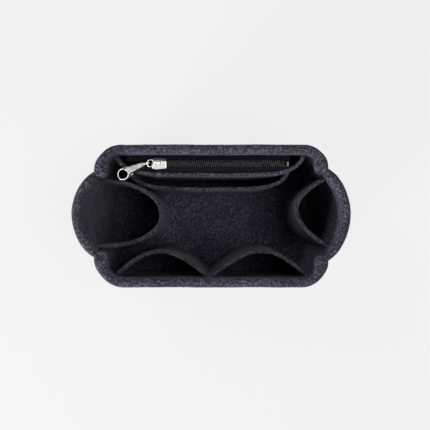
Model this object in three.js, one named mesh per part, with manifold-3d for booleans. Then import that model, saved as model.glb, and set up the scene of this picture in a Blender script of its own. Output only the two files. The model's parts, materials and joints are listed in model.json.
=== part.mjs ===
// Purse organizer insert: a felt shell with sewn-in felt pockets and a zipped pocket on its back wall.
// Millimetres. +X runs along the length, +Y towards the zipped back wall, +Z up.
// The origin lies under the middle of the base.

import * as THREE from 'three';
import { mergeVertices } from 'three/addons/utils/BufferGeometryUtils.js';
import Module from 'manifold-3d';

const wasm = await Module();
wasm.setup();

// Shell
const BODY_LENGTH = 183; // over the wrapped corners of the front and back panels
const BODY_WIDTH = 112.5;
const HEIGHT = 130;
const LEFT_CORNER_RADIUS = 21.55; // mean of the two corners at that end
const RIGHT_CORNER_RADIUS = 18.8;
const SIDE_SHIFT = 1.2; // side panels' middle towards the back
const SIDE_BULGE_RIM = 18.25; // how far a side panel stands out past the corners at the rim
const SIDE_BULGE_BASE = 6;
const SIDE_BULGE_RISE = 0.8; // exponent of the bulge over the height
const SIDE_TUCK = 1.2; // side panel length that runs in behind a corner
const WALL_FELT = 4;
const HEM_DROP = 14; // height of the rim's folded-in hem
const HEM_BEVEL = 0.6;
const RIM_ROUND = 3;
const CUT_END_ROUND = 0.3;
const BASE_FELT = 4;
const SEAM_GAP = 0.3; // between two sewn pieces

// Pockets
const POCKET_FELT = 3;
const LEFT_POCKET_DROP = 15; // top edge below the rim
const LEFT_POCKET_REACH = 50.9; // from the end of the body to the pocket's nose
const LEFT_POCKET_INSET = 7.7; // leg's distance from the corner seam
const LEFT_POCKET_SHIFT = 2.3; // roots' middle towards the back
const LEFT_POCKET_SKEW = 1.2; // nose's shift towards the front
const LEFT_POCKET_FULLNESS = 2.4; // exponent of its plan curve
const RIGHT_POCKET_DROP = 15;
const RIGHT_POCKET_REACH = 22.2;
const RIGHT_POCKET_INSET = 8.45;
const RIGHT_POCKET_SHIFT = 2.6;
const RIGHT_POCKET_SKEW = 2.2; // nose's shift towards the back
const FRONT_POCKET_DROP = 20;
const FRONT_POCKET_DEPTH = 21.5; // bulge of each arch from the sewn line
const FRONT_POCKET_END_MARGIN = 10.3; // from the end of the body to the end of an arch
const FRONT_POCKET_LAND = 1.5; // strip sewn flat to the wall between the arches
const FRONT_POCKET_SEAM_X = -1.45;
const ZIP_POCKET_DEPTH = 17.25; // clear depth in front of the back wall
const ZIP_POCKET_END_MARGIN = 13;
const ZIP_POCKET_CENTRE_X = -1.8;
const ZIP_POCKET_FULLNESS = 6; // exponent of the panel's plan curve
const ZIP_PANEL_RISE = 1; // panel's top edge above the zipper tape
const SLIP_POCKET_DROP = 25;
const SLIP_POCKET_BULGE = 11.5;
const SLIP_POCKET_END_MARGIN = 13.5; // inside each end of the zip pocket
const SLIP_POCKET_FULLNESS = 4;

// Zipper chain
const ZIP_DROP = 18; // top of the tape below the rim
const ZIP_SETBACK = 9.65; // middle of the chain from the back wall
const TAPE_THICKNESS = 1;
const TAPE_SLIT = 3.2; // opening between the two tapes
const TAPE_TURN = 8; // sewn edge turned down inside the pocket
const TAPE_TURN_INSET = 14; // turned edge's distance from the ends of the front tape
const TAPE_LEFT_SHARE = 0.8535; // of the zip pocket's half length
const TAPE_RIGHT_SHARE = 0.8382;
const COIL_PITCH = 1.6;
const COIL_TOOTH = 0.5;
const COIL_RAIL_WIDTH = 1.4;
const COIL_HEIGHT = 2;
const COIL_CROSSING = 0.75; // tooth tip past the middle of the chain
const COIL_ON_TAPE = 0.1; // rail's distance from the slit's edge
const REAR_COIL_PHASE = 0.25; // first tooth's place as a share of the pitch
const FRONT_COIL_PHASE = 0.75;
const STOP_LENGTH = 2.4;
const STOP_HEIGHT = 2.2;
const STOP_ROUND = 0.55;
const TOP_STOP_WIDTH = 1.8;
const TOP_STOP_INSET = 16.7; // from the left end of the tape
const BOTTOM_STOP_WIDTH = 5.6;
const TAPE_TAIL = 0.8; // tape past the bottom stop

// Slider
const SLIDER_LENGTH = 12.2;
const SLIDER_SHOULDER_WIDTH = 9.8;
const SLIDER_TAIL_WIDTH = 8;
const SLIDER_NOSE_LENGTH = 4.4;
const SLIDER_NOSE_NOTCH = 0.7;
const SLIDER_NOSE_WIDTH = 4.4;
const SLIDER_REST_GAP = 1.2; // slider's nose from the top stops
const SLIDER_CLEARANCE = 0.3; // slider to tape and coil
const WING_THICKNESS = 1.2;
const POST_LENGTH = 3.8;
const POST_WIDTH = 2.2;
const POST_INSET = 1; // post's distance from the nose
const CROWN_LENGTH = 7.6;
const CROWN_WIDTH = 2.6;
const CROWN_BAR = 1.1;
const CROWN_LEG = 1;
const CROWN_TUNNEL = 2.6;
const CROWN_ROUND = 1.2;
const CROWN_INSET = 0.6; // front leg's distance from the nose

// Pull
const LINK_WIRE = 1;
const LINK_LENGTH = 5.6; // between the middles of its two end wires
const LINK_WIDTH = 5.6; // between the middles of its two side wires
const LINK_ROUND = 2;
const LINK_PLAY = 0.5; // from the front leg to the wire in the tunnel
const EYE_RADIUS = 1.95;
const EYE_HOLE_RADIUS = 1.2;
const EYE_WIDTH = 1.9;
const PULL_LENGTH = 21.7; // from the eye to the middle of the ring
const PULL_NECK_WIDTH = 3.4;
const PULL_NECK_START = 4;
const PULL_WIDTH = 8.2;
const PULL_THICKNESS = 3;
const RING_RADIUS = 4.8;
const RING_HOLE_RADIUS = 3.4;
const RING_THICKNESS = 2.6;
const RING_EDGE = 0.5;
const PULL_YAW = 24.5; // degrees towards the front
const PULL_TILT = 4.5; // degrees down, clear of the zip pocket's panel

// Facets
const CORNER_STEPS = 8;
const SIDE_STEPS = 14;
const SIDE_LEVELS = 5;
const POCKET_STEPS = 26;
const POCKET_LEVELS = 3;
const CAP_STEPS = 4;
const WIRE_SIDES = 8;
const ROUND_STEPS = 24;
const CURVE_STEPS = 6;
const BISECTION_STEPS = 40;

// Heights and faces that more than one piece uses
const HALF_LENGTH = BODY_LENGTH / 2;
const HALF_WIDTH = BODY_WIDTH / 2;
const TAPE_TOP = HEIGHT - ZIP_DROP;
const BACK_INNER_FACE = HALF_WIDTH - WALL_FELT;
const CHAIN_Y = BACK_INNER_FACE - ZIP_SETBACK;
const ZIP_HALF_LENGTH = HALF_LENGTH - ZIP_POCKET_END_MARGIN;
const SLIP_HALF_LENGTH = ZIP_HALF_LENGTH - SLIP_POCKET_END_MARGIN;
const TAPE_LEFT = ZIP_POCKET_CENTRE_X - ZIP_HALF_LENGTH * TAPE_LEFT_SHARE;
const TAPE_RIGHT = ZIP_POCKET_CENTRE_X + ZIP_HALF_LENGTH * TAPE_RIGHT_SHARE;
const TOP_STOP_RIGHT = TAPE_LEFT + TOP_STOP_INSET + STOP_LENGTH;
const BOTTOM_STOP_LEFT = TAPE_RIGHT - TAPE_TAIL - STOP_LENGTH;
const SLIDER_X = TOP_STOP_RIGHT + SLIDER_REST_GAP + SLIDER_LENGTH / 2;
const COIL_RAIL_INNER = TAPE_SLIT / 2 + COIL_ON_TAPE;
const COIL_RAIL_OUTER = COIL_RAIL_INNER + COIL_RAIL_WIDTH;
const TOP_WING_UNDERSIDE = COIL_HEIGHT + SLIDER_CLEARANCE;
const TOP_WING_TOP = TOP_WING_UNDERSIDE + WING_THICKNESS;
const BOTTOM_WING_TOP = -TAPE_THICKNESS - SLIDER_CLEARANCE;
const CROWN_LEFT = -SLIDER_LENGTH / 2 + CROWN_INSET;
const LINK_X = CROWN_LEFT + CROWN_LEG + LINK_PLAY + LINK_WIRE / 2;
const LINK_Z = TOP_WING_TOP + CROWN_TUNNEL / 2;

function lerp(from, to, share) {
  return from + (to - from) * share;
}

// Solids

function toSolid(geometry) {
  const bare = geometry.clone();
  bare.deleteAttribute('normal');
  bare.deleteAttribute('uv');
  const merged = mergeVertices(bare);
  const vertProperties = Float32Array.from(merged.attributes.position.array);
  const triVerts = Uint32Array.from(merged.index.array);
  return new wasm.Manifold(new wasm.Mesh({ numProp: 3, vertProperties, triVerts }));
}

function toGeometry(solid) {
  const mesh = solid.getMesh();
  return surface(mesh.vertProperties, mesh.triVerts);
}

function surface(positions, triangles) {
  const geometry = new THREE.BufferGeometry();
  geometry.setAttribute('position', new THREE.Float32BufferAttribute(positions, 3));
  geometry.setIndex(new THREE.Uint32BufferAttribute(triangles, 1));
  geometry.computeVertexNormals();
  return geometry;
}

// A closed skin over horizontal rings of equal count, listed upwards and counterclockwise from above.
function loft(rings) {
  const count = rings[0].length;
  const positions = rings.flat().flatMap((point) => [point.x, point.y, point.z]);
  const triangles = [];
  for (let level = 0; level < rings.length - 1; level += 1) {
    for (let i = 0; i < count; i += 1) {
      const next = (i + 1) % count;
      const low = level * count;
      const high = low + count;
      triangles.push(low + i, low + next, high + next);
      triangles.push(low + i, high + next, high + i);
    }
  }
  for (const [a, b, c] of THREE.ShapeUtils.triangulateShape(flatten(rings[0]), [])) {
    triangles.push(a, c, b);
  }
  const top = (rings.length - 1) * count;
  for (const [a, b, c] of THREE.ShapeUtils.triangulateShape(flatten(rings.at(-1)), [])) {
    triangles.push(top + a, top + b, top + c);
  }
  return surface(positions, triangles);
}

function flatten(ring) {
  return ring.map((point) => new THREE.Vector2(point.x, point.y));
}

function extrude(shape, height, from = 0) {
  const options = { depth: height, bevelEnabled: false, curveSegments: CURVE_STEPS };
  return new THREE.ExtrudeGeometry(shape, options).translate(0, 0, from);
}

// Plan paths: stations on a line, each with the direction to the left of travel

function arcStations(centre, radius, fromDegrees, toDegrees, steps) {
  const stations = [];
  for (let i = 0; i <= steps; i += 1) {
    const angle = THREE.MathUtils.degToRad(lerp(fromDegrees, toDegrees, i / steps));
    const outward = new THREE.Vector2(Math.cos(angle), Math.sin(angle));
    stations.push({ point: outward.clone().multiplyScalar(radius).add(centre), left: outward.negate() });
  }
  return stations;
}

function lineStations(points) {
  return points.map((point, i) => {
    const before = points[Math.max(i - 1, 0)];
    const after = points[Math.min(i + 1, points.length - 1)];
    const arriving = (i > 0 ? point.clone().sub(before) : after.clone().sub(point)).normalize();
    const leaving = (i < points.length - 1 ? after.clone().sub(point) : arriving.clone()).normalize();
    const along = arriving.clone().add(leaving).normalize();
    const mitre = 1 / along.dot(leaving);
    return { point, left: new THREE.Vector2(-along.y, along.x).multiplyScalar(mitre) };
  });
}

function curvePoints(curve, from, to, steps) {
  return Array.from({ length: steps + 1 }, (_, i) => curve(lerp(from, to, i / steps)));
}

// One level of a felt strip: from near to far left of its path, with its two ends rounded out by a cap.
function stripRing(stations, { z, near, far, cap }) {
  const place = (station, offset) => station.point.clone().addScaledVector(station.left, offset);
  const endCap = (station, direction) => {
    const points = [];
    for (let i = 1; i < CAP_STEPS; i += 1) {
      const angle = (Math.PI * i) / CAP_STEPS;
      const across = (direction * (near - far) * Math.cos(angle) + near + far) / 2;
      const outward = new THREE.Vector2(station.left.y, -station.left.x).multiplyScalar(direction);
      points.push(place(station, across).addScaledVector(outward, cap * Math.sin(angle)));
    }
    return points;
  };
  const outline = [
    ...stations.map((station) => place(station, near)),
    ...endCap(stations.at(-1), 1),
    ...stations.toReversed().map((station) => place(station, far)),
    ...endCap(stations[0], -1),
  ];
  return outline.map((point) => new THREE.Vector3(point.x, point.y, z));
}

// Shell

// Half of a side panel's width between its two seams.
function halfSide(side) {
  return HALF_WIDTH - (side < 0 ? LEFT_CORNER_RADIUS : RIGHT_CORNER_RADIUS);
}

function cornerRadius(side, face) {
  return HALF_WIDTH - halfSide(side) - Math.sign(face) * SIDE_SHIFT;
}

function cornerCentre(side, face) {
  const radius = cornerRadius(side, face);
  return new THREE.Vector2(side * (HALF_LENGTH - radius), face * (HALF_WIDTH - radius));
}

// Outer face of the front panel (face -1) or back panel (face 1), round both of its corners.
function wrapStations(face) {
  const first = face < 0 ? -1 : 1;
  const turn = face < 0 ? 180 : 0;
  return [
    ...arcStations(cornerCentre(first, face), cornerRadius(first, face), turn, turn + 90, CORNER_STEPS),
    ...arcStations(cornerCentre(-first, face), cornerRadius(-first, face), turn + 90, turn + 180, CORNER_STEPS),
  ];
}

// Depth of a plan point below the outer face of the front and back panels.
function shellDepth(point) {
  const radius = cornerRadius(point.x, point.y);
  const across = Math.abs(point.x) - (HALF_LENGTH - radius);
  const out = Math.abs(point.y) - (HALF_WIDTH - radius);
  return across > 0 && out > 0 ? radius - Math.hypot(across, out) : radius - Math.max(across, out);
}

function sideBulge(z) {
  const share = Math.max(0, (z - BASE_FELT) / (HEIGHT - BASE_FELT));
  return lerp(SIDE_BULGE_BASE, SIDE_BULGE_RIM, share ** SIDE_BULGE_RISE);
}

// Circle that the outer face of a side panel follows at one height.
function sideArc(side, z) {
  const bulge = sideBulge(z);
  const radius = (halfSide(side) ** 2 + bulge ** 2) / (2 * bulge);
  const centre = new THREE.Vector2(side * (HALF_LENGTH + bulge - radius), SIDE_SHIFT);
  return { centre, radius, halfAngle: Math.asin(halfSide(side) / radius) };
}

function sideStations(side, z, tuck) {
  const { centre, radius, halfAngle } = sideArc(side, z);
  const reach = THREE.MathUtils.radToDeg(halfAngle + tuck / radius);
  const facing = side < 0 ? 180 : 0;
  return arcStations(centre, radius, facing - reach, facing + reach, SIDE_STEPS);
}

// Middle of a side panel's felt at a height and a Y.
function sideMiddleX(side, z, y) {
  const { centre, radius } = sideArc(side, z);
  return centre.x + side * Math.sqrt((radius - WALL_FELT / 2) ** 2 - (y - centre.y) ** 2);
}

// Single felt up to the hem, then double felt with a rounded rim; grow swells it on every side.
function wallLevels(steps, grow) {
  const hemFoot = HEIGHT - HEM_DROP - grow;
  const levels = [];
  for (let i = 0; i <= steps; i += 1) {
    const z = lerp(BASE_FELT - grow, hemFoot - HEM_BEVEL, i / steps);
    levels.push({ z, near: -grow, far: WALL_FELT + grow, cap: CUT_END_ROUND + grow });
  }
  const hemLevel = (z, inset) => ({
    z,
    near: inset - grow,
    far: 2 * WALL_FELT + grow - inset,
    cap: WALL_FELT + grow - inset,
  });
  levels.push(hemLevel(hemFoot, 0));
  for (const angle of [0, Math.PI / 4, Math.PI / 2]) {
    const z = HEIGHT + grow - RIM_ROUND * (1 - Math.sin(angle));
    levels.push(hemLevel(z, RIM_ROUND * (1 - Math.cos(angle))));
  }
  return levels;
}

function wrapPanel(face, grow = 0) {
  return toSolid(loft(wallLevels(1, grow).map((level) => stripRing(wrapStations(face), level))));
}

function sidePanelBlank(side, grow = 0) {
  const ring = (level) => stripRing(sideStations(side, level.z, SIDE_TUCK), level);
  return toSolid(loft(wallLevels(SIDE_LEVELS, grow).map(ring)));
}

const frontRoom = wrapPanel(-1, SEAM_GAP);
const backRoom = wrapPanel(1, SEAM_GAP);

function sidePanel(side) {
  return sidePanelBlank(side).subtract(frontRoom).subtract(backRoom);
}

function basePanel() {
  const outline = [
    ...wrapStations(-1),
    ...sideStations(1, 0, 0).slice(1, -1),
    ...wrapStations(1),
    ...sideStations(-1, 0, 0).slice(1, -1),
  ].map((station) => station.point);
  const ring = (z) => outline.map((point) => new THREE.Vector3(point.x, point.y, z));
  return toSolid(loft([ring(0), ring(BASE_FELT)]));
}

// Pockets

// A strip of pocket felt that stands on the base; its plan line may change with the height.
function pocketStrip(pointsAt, top, levels) {
  const rings = [];
  for (let i = 0; i <= levels; i += 1) {
    const z = lerp(BASE_FELT, top, i / levels);
    const level = { z, near: -POCKET_FELT / 2, far: POCKET_FELT / 2, cap: CUT_END_ROUND };
    rings.push(stripRing(lineStations(pointsAt(z)), level));
  }
  return toSolid(loft(rings));
}

function leftPocket() {
  const halfWidth = halfSide(-1) - LEFT_POCKET_INSET;
  const nose = LEFT_POCKET_REACH - HALF_LENGTH;
  const pointsAt = (z) => {
    const curve = (angle) => {
      const root = sideMiddleX(-1, z, LEFT_POCKET_SHIFT + Math.sign(angle) * halfWidth);
      const along = Math.cos(angle) ** (2 / LEFT_POCKET_FULLNESS);
      const y = LEFT_POCKET_SHIFT + halfWidth * Math.sin(angle) - LEFT_POCKET_SKEW * along;
      return new THREE.Vector2(lerp(root, nose, along), y);
    };
    return curvePoints(curve, -Math.PI / 2, Math.PI / 2, POCKET_STEPS);
  };
  const strip = pocketStrip(pointsAt, HEIGHT - LEFT_POCKET_DROP, POCKET_LEVELS);
  return strip.subtract(sidePanelBlank(-1, SEAM_GAP)).subtract(frontRoom).subtract(backRoom);
}

function rightPocket() {
  const halfWidth = halfSide(1) - RIGHT_POCKET_INSET;
  const nose = HALF_LENGTH - RIGHT_POCKET_REACH;
  const pointsAt = (z) => {
    const parabola = (share) => {
      const root = sideMiddleX(1, z, RIGHT_POCKET_SHIFT + Math.sign(share) * halfWidth);
      const y = RIGHT_POCKET_SHIFT + halfWidth * share + RIGHT_POCKET_SKEW * (1 - share ** 2);
      return new THREE.Vector2(lerp(nose, root, share ** 2), y);
    };
    return curvePoints(parabola, -1, 1, POCKET_STEPS);
  };
  const strip = pocketStrip(pointsAt, HEIGHT - RIGHT_POCKET_DROP, POCKET_LEVELS);
  return strip.subtract(sidePanelBlank(1, SEAM_GAP)).subtract(frontRoom).subtract(backRoom);
}

// Where a curve that starts inside the shell has sunk half a felt into its wall.
function wallShare(curve, inside, outside) {
  let inner = inside;
  let outer = outside;
  for (let i = 0; i < BISECTION_STEPS; i += 1) {
    const middle = (inner + outer) / 2;
    if (shellDepth(curve(middle)) > WALL_FELT / 2) inner = middle;
    else outer = middle;
  }
  return inner;
}

function frontPocket() {
  const sewnY = SEAM_GAP + POCKET_FELT / 2 - BACK_INNER_FACE;
  const arch = (side) => {
    const root = FRONT_POCKET_SEAM_X + (side * FRONT_POCKET_LAND) / 2;
    const end = side * (HALF_LENGTH - FRONT_POCKET_END_MARGIN);
    const curve = (share) => new THREE.Vector2(
      lerp(root, end, share),
      sewnY + FRONT_POCKET_DEPTH * Math.sin(Math.PI * share),
    );
    return curvePoints(curve, 0, wallShare(curve, 0.5, 1), POCKET_STEPS);
  };
  const points = [...arch(-1).reverse(), ...arch(1)];
  return pocketStrip(() => points, HEIGHT - FRONT_POCKET_DROP, 1).subtract(frontRoom);
}

// Middle line of the zip pocket's panel in plan; share runs from -1 to 1 over its length.
function zipCurve(share) {
  const depth = ZIP_POCKET_DEPTH + WALL_FELT + POCKET_FELT / 2;
  const along = Math.sin((Math.PI / 2) * share);
  return new THREE.Vector2(
    ZIP_POCKET_CENTRE_X + ZIP_HALF_LENGTH * along,
    HALF_WIDTH - depth * Math.sqrt(1 - Math.abs(along) ** ZIP_POCKET_FULLNESS),
  );
}

function zipShareAt(x) {
  return Math.asin((x - ZIP_POCKET_CENTRE_X) / ZIP_HALF_LENGTH) / (Math.PI / 2);
}

function zipPanelPoints() {
  return curvePoints(zipCurve, wallShare(zipCurve, 0, -1), wallShare(zipCurve, 0, 1), POCKET_STEPS);
}

function zipPocket() {
  return pocketStrip(zipPanelPoints, TAPE_TOP + ZIP_PANEL_RISE, 1).subtract(backRoom);
}

// Room taken by the zip pocket's panel and the gap on each of its faces.
function zipPanelRoom() {
  const half = POCKET_FELT / 2 + SEAM_GAP;
  const level = (z) => ({ z, near: -half, far: half, cap: CUT_END_ROUND });
  const rings = [0, HEIGHT].map((z) => stripRing(lineStations(zipPanelPoints()), level(z)));
  return toSolid(loft(rings));
}

function slipPocket() {
  const rootY = zipCurve(zipShareAt(ZIP_POCKET_CENTRE_X + SLIP_HALF_LENGTH)).y;
  const bulge = rootY - zipCurve(0).y + SLIP_POCKET_BULGE;
  const curve = (share) => {
    const along = Math.sin((Math.PI / 2) * share);
    return new THREE.Vector2(
      ZIP_POCKET_CENTRE_X + SLIP_HALF_LENGTH * along,
      rootY - bulge * Math.sqrt(1 - Math.abs(along) ** SLIP_POCKET_FULLNESS),
    );
  };
  const points = curvePoints(curve, -1, 1, POCKET_STEPS);
  return pocketStrip(() => points, HEIGHT - SLIP_POCKET_DROP, 1).subtract(zipPanelRoom());
}

// Zipper chain

function rearTape() {
  const wallFace = BACK_INNER_FACE - SEAM_GAP;
  const section = new THREE.Shape([
    new THREE.Vector2(CHAIN_Y + TAPE_SLIT / 2, TAPE_TOP - TAPE_THICKNESS),
    new THREE.Vector2(wallFace - TAPE_THICKNESS, TAPE_TOP - TAPE_THICKNESS),
    new THREE.Vector2(wallFace - TAPE_THICKNESS, TAPE_TOP - TAPE_TURN),
    new THREE.Vector2(wallFace, TAPE_TOP - TAPE_TURN),
    new THREE.Vector2(wallFace, TAPE_TOP),
    new THREE.Vector2(CHAIN_Y + TAPE_SLIT / 2, TAPE_TOP),
  ]);
  const strip = extrude(section, TAPE_RIGHT - TAPE_LEFT);
  strip.rotateX(Math.PI / 2).rotateZ(Math.PI / 2).translate(TAPE_LEFT, 0, 0);
  return toSolid(strip).subtract(backRoom);
}

// The flat part ends inside the turned-down part, which stops short of the tape's ends.
function frontTape() {
  const stations = lineStations(curvePoints(zipCurve, zipShareAt(TAPE_LEFT), zipShareAt(TAPE_RIGHT), POCKET_STEPS));
  const near = POCKET_FELT / 2 + SEAM_GAP;
  const far = near + TAPE_THICKNESS;
  const sewn = stations.map(({ point, left }) => point.clone().addScaledVector(left, (near + far) / 2));
  const slitEdge = CHAIN_Y - TAPE_SLIT / 2;
  const outline = [...sewn, new THREE.Vector2(TAPE_RIGHT, slitEdge), new THREE.Vector2(TAPE_LEFT, slitEdge)];
  const flat = toSolid(extrude(new THREE.Shape(outline), TAPE_THICKNESS, TAPE_TOP - TAPE_THICKNESS));
  const turnStations = stations.filter(
    ({ point }) => point.x > TAPE_LEFT + TAPE_TURN_INSET && point.x < TAPE_RIGHT - TAPE_TURN_INSET,
  );
  const turnRing = (z) => stripRing(turnStations, { z, near, far, cap: CUT_END_ROUND });
  const turn = toSolid(loft([turnRing(TAPE_TOP - TAPE_TURN), turnRing(TAPE_TOP - TAPE_THICKNESS / 2)]));
  return flat.add(turn);
}

// A rail with teeth that point across the chain; those left of the slider's post are parted.
function coil(side) {
  const left = TOP_STOP_RIGHT + SLIDER_CLEARANCE;
  const right = BOTTOM_STOP_LEFT - SLIDER_CLEARANCE;
  const meshedFrom = SLIDER_X - SLIDER_LENGTH / 2 + POST_INSET + POST_LENGTH + SLIDER_CLEARANCE;
  const partedTip = POST_WIDTH / 2 + SLIDER_CLEARANCE;
  const phase = side > 0 ? REAR_COIL_PHASE : FRONT_COIL_PHASE;
  const count = Math.floor((right - left) / COIL_PITCH);
  const outline = [
    new THREE.Vector2(right, side * COIL_RAIL_OUTER),
    new THREE.Vector2(left, side * COIL_RAIL_OUTER),
    new THREE.Vector2(left, side * COIL_RAIL_INNER),
  ];
  for (let i = 0; i < count; i += 1) {
    const x = left + (i + phase) * COIL_PITCH;
    const tip = side * (x < meshedFrom + COIL_TOOTH ? partedTip : -COIL_CROSSING);
    outline.push(new THREE.Vector2(x - COIL_TOOTH / 2, side * COIL_RAIL_INNER));
    outline.push(new THREE.Vector2(x - COIL_TOOTH / 2, tip));
    outline.push(new THREE.Vector2(x + COIL_TOOTH / 2, tip));
    outline.push(new THREE.Vector2(x + COIL_TOOTH / 2, side * COIL_RAIL_INNER));
  }
  outline.push(new THREE.Vector2(right, side * COIL_RAIL_INNER));
  return toSolid(extrude(new THREE.Shape(outline), COIL_HEIGHT).translate(0, CHAIN_Y, TAPE_TOP));
}

function stopBlock(width) {
  const section = new THREE.Shape();
  section.moveTo(-STOP_LENGTH / 2, 0);
  section.lineTo(STOP_LENGTH / 2, 0);
  section.lineTo(STOP_LENGTH / 2, STOP_HEIGHT - STOP_ROUND);
  section.quadraticCurveTo(STOP_LENGTH / 2, STOP_HEIGHT, STOP_LENGTH / 2 - STOP_ROUND, STOP_HEIGHT);
  section.lineTo(STOP_ROUND - STOP_LENGTH / 2, STOP_HEIGHT);
  section.quadraticCurveTo(-STOP_LENGTH / 2, STOP_HEIGHT, -STOP_LENGTH / 2, STOP_HEIGHT - STOP_ROUND);
  return extrude(section, width, -width / 2).rotateX(Math.PI / 2);
}

// Slider: its own frame has its middle on the chain at the top of the tape

function wingShape() {
  const tail = SLIDER_LENGTH / 2;
  const nose = -tail;
  const shoulder = SLIDER_SHOULDER_WIDTH / 2;
  const shape = new THREE.Shape();
  shape.moveTo(tail, -SLIDER_TAIL_WIDTH / 2);
  shape.lineTo(tail, SLIDER_TAIL_WIDTH / 2);
  shape.lineTo(nose + SLIDER_NOSE_LENGTH, shoulder);
  shape.quadraticCurveTo(nose, shoulder, nose, SLIDER_NOSE_WIDTH / 2);
  shape.quadraticCurveTo(nose + SLIDER_NOSE_NOTCH, 0, nose, -SLIDER_NOSE_WIDTH / 2);
  shape.quadraticCurveTo(nose, -shoulder, nose + SLIDER_NOSE_LENGTH, -shoulder);
  return shape;
}

function postShape() {
  const left = -SLIDER_LENGTH / 2 + POST_INSET;
  return new THREE.Shape([
    new THREE.Vector2(left, 0),
    new THREE.Vector2(left + POST_LENGTH / 2, -POST_WIDTH / 2),
    new THREE.Vector2(left + POST_LENGTH, 0),
    new THREE.Vector2(left + POST_LENGTH / 2, POST_WIDTH / 2),
  ]);
}

function sliderBody() {
  const topWing = toSolid(extrude(wingShape(), WING_THICKNESS, TOP_WING_UNDERSIDE));
  const bottomWing = toSolid(extrude(wingShape(), WING_THICKNESS, BOTTOM_WING_TOP - WING_THICKNESS));
  const skirtDrop = TOP_WING_TOP - SLIDER_CLEARANCE;
  const skirt = toSolid(extrude(wingShape(), skirtDrop, SLIDER_CLEARANCE));
  const channelWidth = 2 * (COIL_RAIL_OUTER + SLIDER_CLEARANCE);
  const channel = new THREE.BoxGeometry(2 * SLIDER_LENGTH, channelWidth, 2 * TOP_WING_UNDERSIDE);
  const flanges = skirt.subtract(toSolid(channel));
  const postFoot = BOTTOM_WING_TOP - WING_THICKNESS / 2;
  const postHead = TOP_WING_UNDERSIDE + WING_THICKNESS / 2;
  const post = toSolid(extrude(postShape(), postHead - postFoot, postFoot));
  return topWing.add(flanges).add(post).add(bottomWing);
}

// An arch along the slider whose feet stand on the top wing.
function crown() {
  const right = CROWN_LEFT + CROWN_LENGTH;
  const roof = TOP_WING_TOP + CROWN_TUNNEL + CROWN_BAR;
  const ceiling = TOP_WING_TOP + CROWN_TUNNEL;
  const arch = new THREE.Shape();
  arch.moveTo(CROWN_LEFT, TOP_WING_TOP);
  arch.lineTo(CROWN_LEFT + CROWN_LEG, TOP_WING_TOP);
  arch.lineTo(CROWN_LEFT + CROWN_LEG, ceiling);
  arch.lineTo(right - CROWN_LEG, ceiling);
  arch.lineTo(right - CROWN_LEG, TOP_WING_TOP);
  arch.lineTo(right, TOP_WING_TOP);
  arch.lineTo(right, roof - CROWN_ROUND);
  arch.quadraticCurveTo(right, roof, right - CROWN_ROUND, roof);
  arch.lineTo(CROWN_LEFT + CROWN_ROUND, roof);
  arch.quadraticCurveTo(CROWN_LEFT, roof, CROWN_LEFT, roof - CROWN_ROUND);
  return extrude(arch, CROWN_WIDTH, -CROWN_WIDTH / 2).rotateX(Math.PI / 2);
}

// Pull

// A round wire bent into a closed, flat, rounded rectangle; its right end wire lies on the origin.
function pullLink() {
  const corners = [[0, 1], [-LINK_LENGTH, 1], [-LINK_LENGTH, -1], [0, -1]];
  const stations = corners.flatMap(([x, side], i) => {
    const inset = x === 0 ? -LINK_ROUND : LINK_ROUND;
    const centre = new THREE.Vector2(x + inset, side * (LINK_WIDTH / 2 - LINK_ROUND));
    return arcStations(centre, LINK_ROUND, 90 * i, 90 * (i + 1), CAP_STEPS);
  });
  const positions = [];
  const triangles = [];
  stations.forEach((station, i) => {
    const next = (i + 1) % stations.length;
    for (let k = 0; k < WIRE_SIDES; k += 1) {
      const angle = (2 * Math.PI * k) / WIRE_SIDES;
      const across = station.point.clone().addScaledVector(station.left, (-LINK_WIRE / 2) * Math.cos(angle));
      positions.push(across.x, across.y, (LINK_WIRE / 2) * Math.sin(angle));
      const turn = (k + 1) % WIRE_SIDES;
      triangles.push(i * WIRE_SIDES + k, next * WIRE_SIDES + k, next * WIRE_SIDES + turn);
      triangles.push(i * WIRE_SIDES + k, next * WIRE_SIDES + turn, i * WIRE_SIDES + turn);
    }
  });
  return surface(positions, triangles);
}

function rod(radius, length) {
  return new THREE.CylinderGeometry(radius, radius, length, ROUND_STEPS);
}

// An oval bar that widens from the neck to the ring, with its length along X.
function pullBar() {
  const sections = [
    { x: EYE_HOLE_RADIUS, width: EYE_WIDTH },
    { x: EYE_RADIUS, width: EYE_WIDTH },
    { x: PULL_NECK_START, width: PULL_NECK_WIDTH },
    { x: PULL_LENGTH - RING_HOLE_RADIUS, width: PULL_WIDTH },
  ];
  const rings = sections.map(({ x, width }) => Array.from({ length: ROUND_STEPS }, (_, i) => {
    const angle = (2 * Math.PI * i) / ROUND_STEPS;
    return new THREE.Vector3((width / 2) * Math.cos(angle), (PULL_THICKNESS / 2) * Math.sin(angle), x);
  }));
  return loft(rings).rotateX(Math.PI / 2).rotateZ(Math.PI / 2);
}

function pullRing() {
  const half = RING_THICKNESS / 2;
  const profile = [
    [RING_HOLE_RADIUS, RING_EDGE - half],
    [RING_HOLE_RADIUS + RING_EDGE, -half],
    [RING_RADIUS - RING_EDGE, -half],
    [RING_RADIUS, RING_EDGE - half],
    [RING_RADIUS, half - RING_EDGE],
    [RING_RADIUS - RING_EDGE, half],
    [RING_HOLE_RADIUS + RING_EDGE, half],
    [RING_HOLE_RADIUS, half - RING_EDGE],
    [RING_HOLE_RADIUS, RING_EDGE - half],
  ].map(([radius, height]) => new THREE.Vector2(radius, height));
  return new THREE.LatheGeometry(profile, ROUND_STEPS).rotateX(Math.PI / 2);
}

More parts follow.
